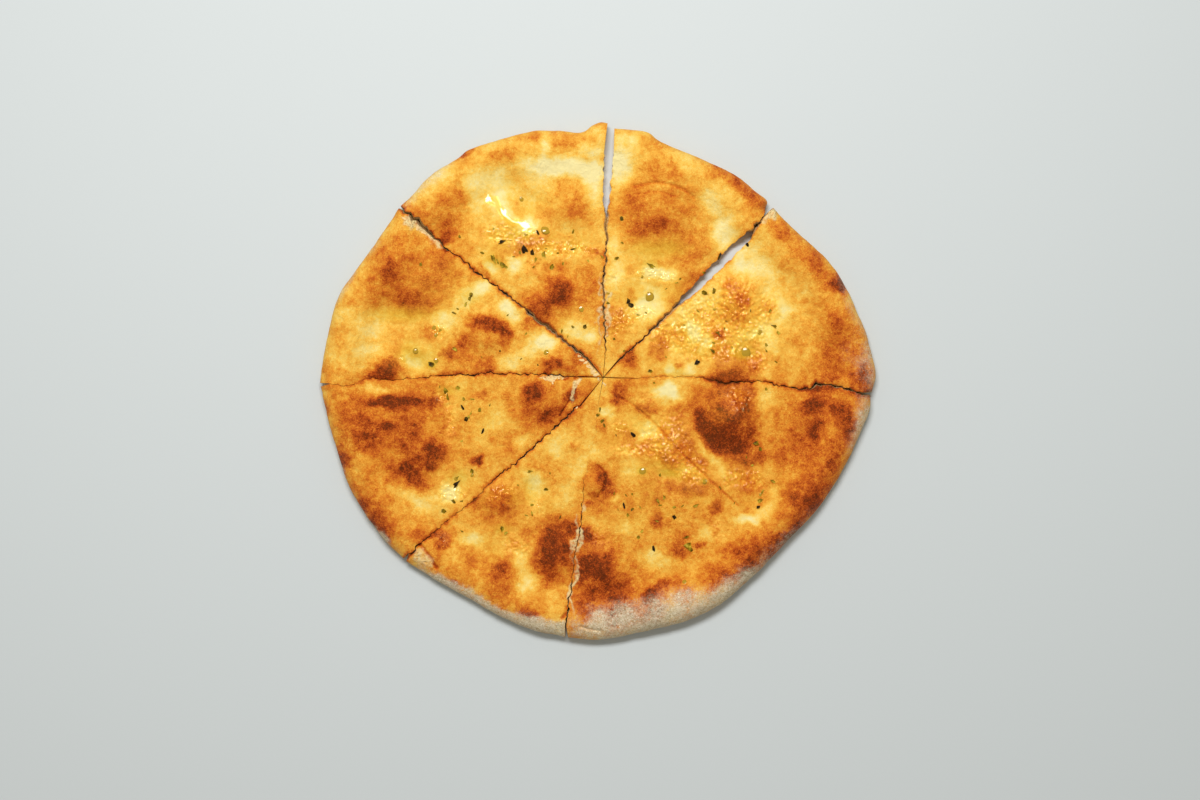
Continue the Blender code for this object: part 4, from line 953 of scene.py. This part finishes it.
dried_leaf, tree, shader = plain_finish("dried_leaf")
fresh = arithmetic(tree, "MULTIPLY_ADD", mark(tree, "char"), -0.3, waves(tree, 0.3, 3, 0.6))
leaf_tone = add(tree, "ShaderNodeValToRGB", {0: fresh})
for position, colour in ((0.36, (88, 68, 4)), (0.5, (142, 116, 8))):
    leaf_tone.color_ramp.elements.new(position).color = paint(*colour)
leaf_tone.color_ramp.elements[0].color = paint(34, 20, 3)
leaf_tone.color_ramp.elements[0].position = 0.2
leaf_tone.color_ramp.elements[-1].color = paint(204, 178, 56)
leaf_tone.color_ramp.elements[-1].position = 0.66
tree.links.new(leaf_tone.outputs[0], shader.inputs["Base Color"])
shader.inputs["Roughness"].default_value = 0.55
shader.inputs["Specular IOR Level"].default_value = 0.15
veins = add(tree, "ShaderNodeBump",
            {"Height": waves(tree, 2.0, 3, 0.6), "Strength": 0.5, "Distance": 0.15 * MM})
tree.links.new(veins.outputs[0], shader.inputs["Normal"])

leaves = hidden_group("leaf_flakes", [
    flake("broad_flake", 1.35, 0.8, 0.22, 7), flake("curled_flake", 1.6, 0.64, 0.3, 8),
    flake("narrow_flake", 1.7, 0.44, 0.18, 7), flake("bent_flake", 1.25, 0.9, 0.26, 6)])
HERBS = {                                                         # x, y, size, and 1 where it is scorched
    slice_one: (
        (16.5, 38, 3.4, 1), (15, 40, 3.0, 1), (26.5, 57.5, 3.6), (60.5, 62, 3.6, 1), (12, 81, 2.8),
        (12, 69, 1.6), (9, 61, 2.4), (39, 49, 1.8), (41, 51, 1.4), (53, 54, 2.0), (5, 39, 2.2),
        (20, 33, 1.8), (8, 21, 1.8), (13, 15, 1.4), (24, 34, 1.4), (34, 46, 1.2)),
    slice_two: (
        (49.5, 9.5, 3.4, 1), (26, 5, 2.6), (57, 15, 2.6), (50, 35, 2.4), (53, 44, 3.4), (58, 45, 3.0),
        (60, 24, 3.2), (63, 26, 2.2), (74.5, 68, 2.4, 1), (90, 24, 2.4), (88, 27, 2.8), (89, 9.5, 1.8),
        (84, 18, 2.0), (86, 35, 2.0), (58, 19, 1.8), (43, 28, 1.4), (64, 30, 1.4), (34, 12, 1.2),
        (84, 15, 1.6), (76, 35, 1.6)),
    slice_wide: (
        (79, -31, 3.2), (81, -34, 2.6), (87, -50, 2.4), (82, -55.5, 2.6), (81, -60, 3.0), (80, -63, 2.6, 1),
        (18, -27, 3.2, 1), (-6.5, -36.5, 2.6, 1), (13, -62, 3.0, 1), (15, -67, 2.2), (17, -64, 2.0),
        (30, -60, 2.4), (31, -62, 2.0), (38, -63, 2.0), (38, -68, 3.0, 1), (49, -62, 2.4), (42, -62.5, 1.8),
        (20, -78, 2.4), (22, -75, 2.0), (28, -84, 2.8, 1), (29.5, -70, 2.0), (45, -82, 4.4), (46, -84, 3.2),
        (44, -78, 2.4), (1, -14, 2.6), (0, -17, 2.2), (2, -20, 2.4), (3, -22, 2.0), (9, -27, 1.4),
        (84, -4, 1.8), (31, -47, 1.8), (74, -38, 1.2), (68, -61, 1.4), (77, -42, 1.6), (61, -53, 1.8),
        (8, -56, 1.4), (14, -57, 1.6), (17, -56.5, 1.4), (33, -58, 2.2), (21, -63, 1.4), (10, -64, 1.2),
        (28, -1, 1.6)),
    slice_seven: (
        (-48, -74, 3.4), (-46, -76, 2.2), (-34, -45, 2.2), (-33, -66, 2.4), (-33, -62, 2.0), (-26, -54, 2.4),
        (-19, -68, 1.6), (-36, -67, 1.6), (-40, -52, 1.2), (-24, -46, 1.2), (-68, -75, 1.4)),
    slice_eight: (
        (-76, -5, 3.4), (-70, -3.5, 3.0), (-75, -8, 2.6), (-67.5, -13.5, 3.2, 1), (-66, -19, 3.0, 1),
        (-64.5, -18, 1.8), (-63.5, -16, 1.6), (-57.5, -25, 3.2, 1), (-59, -14.5, 2.4), (-63, -45, 3.0),
        (-71, -51.5, 4.0, 1), (-70, -48, 1.8), (-77, -65, 3.2), (-72, -60, 2.6), (-68, -60, 1.6),
        (-63, -9, 2.2), (-67, -9, 2.0), (-68, -30, 1.4), (-54, -12, 1.2), (-79, -3, 1.4)),
    slice_ten: (
        (-63.5, 43, 2.8), (-64, 41, 2.4), (-66, 38.5, 2.2), (-72, 34, 2.4), (-83, 8.5, 3.6),
        (-71.5, 16, 2.8), (-36, 23.5, 1.6), (-38.5, 11, 1.4), (-88, 58, 2.2), (-70, 36, 1.6),
        (-45, 33, 1.2), (-58, 12, 1.2), (-49, 15, 1.2), (-30, 8, 1.2)),
    slice_eleven: (
        (-36.5, 65.5, 4.6, 1), (-39, 64, 2.0), (-48, 69.5, 3.4, 1), (-30, 74, 3.4, 1), (-32.5, 64, 3.2, 1),
        (-27, 63, 3.2), (-31, 60.5, 2.4), (-12.5, 74.5, 2.6), (-23, 57, 3.4), (-17.5, 58.5, 1.8),
        (-52, 61, 3.8), (-50, 59.5, 2.6), (-47.5, 58, 3.6), (-46, 57, 2.2), (-58, 64, 2.0),
        (-12, 66, 3.0), (-6.5, 27, 2.8), (-12.5, 27, 1.8), (-18, 25, 1.8), (-15, 22.5, 1.4),
        (-20, 64, 1.8), (-5, 60, 1.4), (2, 62, 1.8), (-42, 62, 1.4), (-52, 76, 1.6), (-69, 72, 1.8),
        (-32, 57, 1.4), (-26, 66, 1.2)),
}
for number, (bread, spots) in enumerate(HERBS.items()):
    drop_on(bread, "herbs", spots, leaves, dried_leaf, sink=-0.12, tilt=0.28, seed=20 + number)


# ------------------------------------------------------------------------------------------- the drops of oil
# Olive oil that ran together in the hollows: low round beads 2 to 5 mm wide, greener than the crust around
# them and smooth, so each mirrors the light. Each row is x, y, width.


def low_lump(name, rings, rise, depth):
    """A closed lump from rings of points, from its foot up, closed by a point above and one below."""
    corners = len(rings[0])
    top = len(rings) * corners
    faces = []
    for here in range(corners):
        there = (here + 1) % corners
        for ring in range(0, top - corners, corners):
            faces.append((ring + here, ring + there, ring + corners + there, ring + corners + here))
        faces.append((top - corners + here, top - corners + there, top))
        faces.append((there, here, top + 1))
    return small_shape(name, sum(rings, []) + [(0, 0, rise), (0, 0, -depth)], faces)


def bead(name, rise, corners=18):
    """A low round bead of oil, one millimetre wide."""
    rings = []
    for share in (1.0, 0.85, 0.6, 0.3):
        ring = []
        for number in range(corners):
            turn = 2 * math.pi * number / corners
            ring.append((share / 2 * math.cos(turn), share / 2 * math.sin(turn), rise * (1 - share ** 2)))
        rings.append(ring)
    shape = low_lump(name, rings, rise, 0.04)
    shape.data.shade_smooth()
    return shape


olive_oil, _, shader = plain_finish("olive_oil")
shader.inputs["Base Color"].default_value = paint(178, 142, 36)
shader.inputs["Roughness"].default_value = 0.12
shader.inputs["Specular IOR Level"].default_value = 0.45

beads = hidden_group("oil_beads", [bead("low_bead", 0.1), bead("lower_bead", 0.07)])
OIL_DROPS = {
    slice_one: ((25.5, 42, 5.0), (5, 44, 1.8), (22, 52, 1.6)),
    slice_two: ((73.5, 14, 5.4), (81, 24, 3.2), (67, 17, 1.8), (58, 36, 1.8)),
    slice_wide: ((22, -45, 3.8), (53, -50, 2.8), (43, -100, 2.4), (81, -57, 2.2)),
    slice_eight: ((-71, -49, 2.4), (-63, -47, 2.0)),
    slice_ten: ((-26, 14.5, 2.8), (-81, 10, 2.6), (-91, 15, 3.0), (-82, 26.5, 2.6), (-79, 25, 2.2),
                (-80.8, 22.8, 2.0)),
    slice_eleven: ((-26, 75.5, 4.8), (-38, 91, 2.6), (-36, 73, 2.0), (-8, 36, 3.2)),
}
for number, (bread, spots) in enumerate(OIL_DROPS.items()):
    drop_on(bread, "oil", spots, beads, olive_oil, sink=0.03, seed=40 + number)


# ------------------------------------------------------------------------------------------ the loose crumbs
# Cream crumbs that the wheel pulled out of the bread: they hang along the cuts near the middle and on the
# torn corners, in strands and flakes. Each row is x, y, size.


def morsel(name, rise, corners=9):
    """An uneven low lump of crumb, at size 1 up to 2.7 mm long and 1.5 mm wide."""
    dice = random.Random(name)
    rings = []
    for share, level in ((1.0, 0.1), (0.75, 0.7), (0.4, 1.0)):
        ring = []
        for number in range(corners):
            turn = 2 * math.pi * number / corners
            reach = share * dice.uniform(0.55, 1.0)
            lift = rise * level * dice.uniform(0.6, 1.0)
            ring.append((1.35 * reach * math.cos(turn), 0.75 * reach * math.sin(turn), lift))
        rings.append(ring)
    return low_lump(name, rings, rise, 0.05)


loose_crumb, tree, shader = plain_finish("loose_crumb")
holes = add(tree, "ShaderNodeGroup", {}, node_tree=pores)
cream = mixed(tree, holes.outputs[0], paint(208, 148, 80), paint(246, 216, 156))
tree.links.new(cream, shader.inputs["Base Color"])
shader.inputs["Roughness"].default_value = 0.8
shader.inputs["Specular IOR Level"].default_value = 0.2
pitted = add(tree, "ShaderNodeBump", {"Height": holes.outputs[0], "Strength": 0.8, "Distance": 0.3 * MM})
tree.links.new(pitted.outputs[0], shader.inputs["Normal"])

morsels = hidden_group("crumb_morsels", [
    morsel("flat_morsel", 0.14), morsel("low_morsel", 0.2), morsel("high_morsel", 0.28)])
CRUMBS = {
    slice_two: ((81.5, 80, 1.1), (84, 81.5, 1.4), (87, 83.5, 1.3), (85.5, 84, 0.9)),
    slice_wide: ((2.2, -0.2, 0.8), (2.9, -1.2, 0.8), (3.6, -2.2, 0.7)),
    slice_eight: (
        (-28.4, 1.6, 0.8), (-26.4, 0.9, 1.3), (-24.4, 1.4, 1.0), (-23, 0.6, 1.7), (-21.2, 1.2, 1.1),
        (-19.4, 1.6, 1.2), (-17.8, 1.2, 0.8), (-22.6, -0.8, 0.9), (-9.4, 2, 0.9), (-9.2, 0.4, 1.3),
        (-10.2, -1.2, 1.1), (-10.8, -2.8, 1.4), (-12, -4.6, 1.1), (-13, -6.4, 0.8), (0.2, 1, 0.9),
        (1, 0.2, 0.8)),
    slice_ten: (
        (-96.5, 81, 1.3), (-93.5, 79, 1.1), (-90, 76, 1.5), (-87, 74, 1.4), (-84, 72, 1.1), (-81, 70, 0.9),
        (-9.2, 12.2, 1.2), (-7.9, 10.4, 1.5), (-6.2, 9.2, 1.3), (-4.9, 7.4, 1.6), (-3.2, 6.3, 1.4),
        (-2.2, 4.6, 1.7), (-0.9, 3.2, 1.4)),
    slice_seven: ((-91, -88.6, 1.1), (-88.6, -86, 1.0), (-10.6, -13.4, 0.8), (-7.8, -11.4, 0.8)),
}
for number, (bread, spots) in enumerate(CRUMBS.items()):
    drop_on(bread, "crumbs", spots, morsels, loose_crumb, sink=0.04, tilt=0.2, seed=60 + number)


# ------------------------------------------------------------------------------------------ floor and light
# A plain pale table, one soft window light from the back left, and a weaker light from all round.
floor_mesh = bpy.data.meshes.new("table")
floor_mesh.from_pydata([(-3, -3, 0), (3, -3, 0), (3, 3, 0), (-3, 3, 0)], [], [(0, 1, 2, 3)])
floor = bpy.data.objects.new("table", floor_mesh)
bpy.context.scene.collection.objects.link(floor)
table_paint, _, shader = plain_finish("table_paint")
shader.inputs["Base Color"].default_value = paint(203, 210, 213)
shader.inputs["Roughness"].default_value = 0.6
floor_mesh.materials.append(table_paint)

world = bpy.data.worlds.new("studio")
bpy.context.scene.world = world
world.use_nodes = True
world.node_tree.nodes["Background"].inputs["Color"].default_value = (1.0, 0.95, 0.84, 1)
world.node_tree.nodes["Background"].inputs["Strength"].default_value = 0.34

window = bpy.data.lights.new("window", "AREA")
window.shape = "RECTANGLE"
window.size = 0.6
window.size_y = 0.26
window.energy = 14.5
window.color = (1.0, 0.99, 0.97)
window_box = bpy.data.objects.new("window", window)
window_box.location = (-0.09, 0.54, 1.19)
window_box.rotation_euler = (-window_box.location).to_track_quat("-Z", "Y").to_euler()
bpy.context.scene.collection.objects.link(window_box)

# The camera looks straight down from a little over a metre.
camera_data = bpy.data.cameras.new("camera")
camera_data.lens = 70
camera_data.sensor_width = 36
camera = bpy.data.objects.new("camera", camera_data)
camera.location = (0.001, -0.0095, 1.1717)
bpy.context.scene.collection.objects.link(camera)
bpy.context.scene.camera = camera
bpy.context.scene.view_settings.view_transform = "Standard"
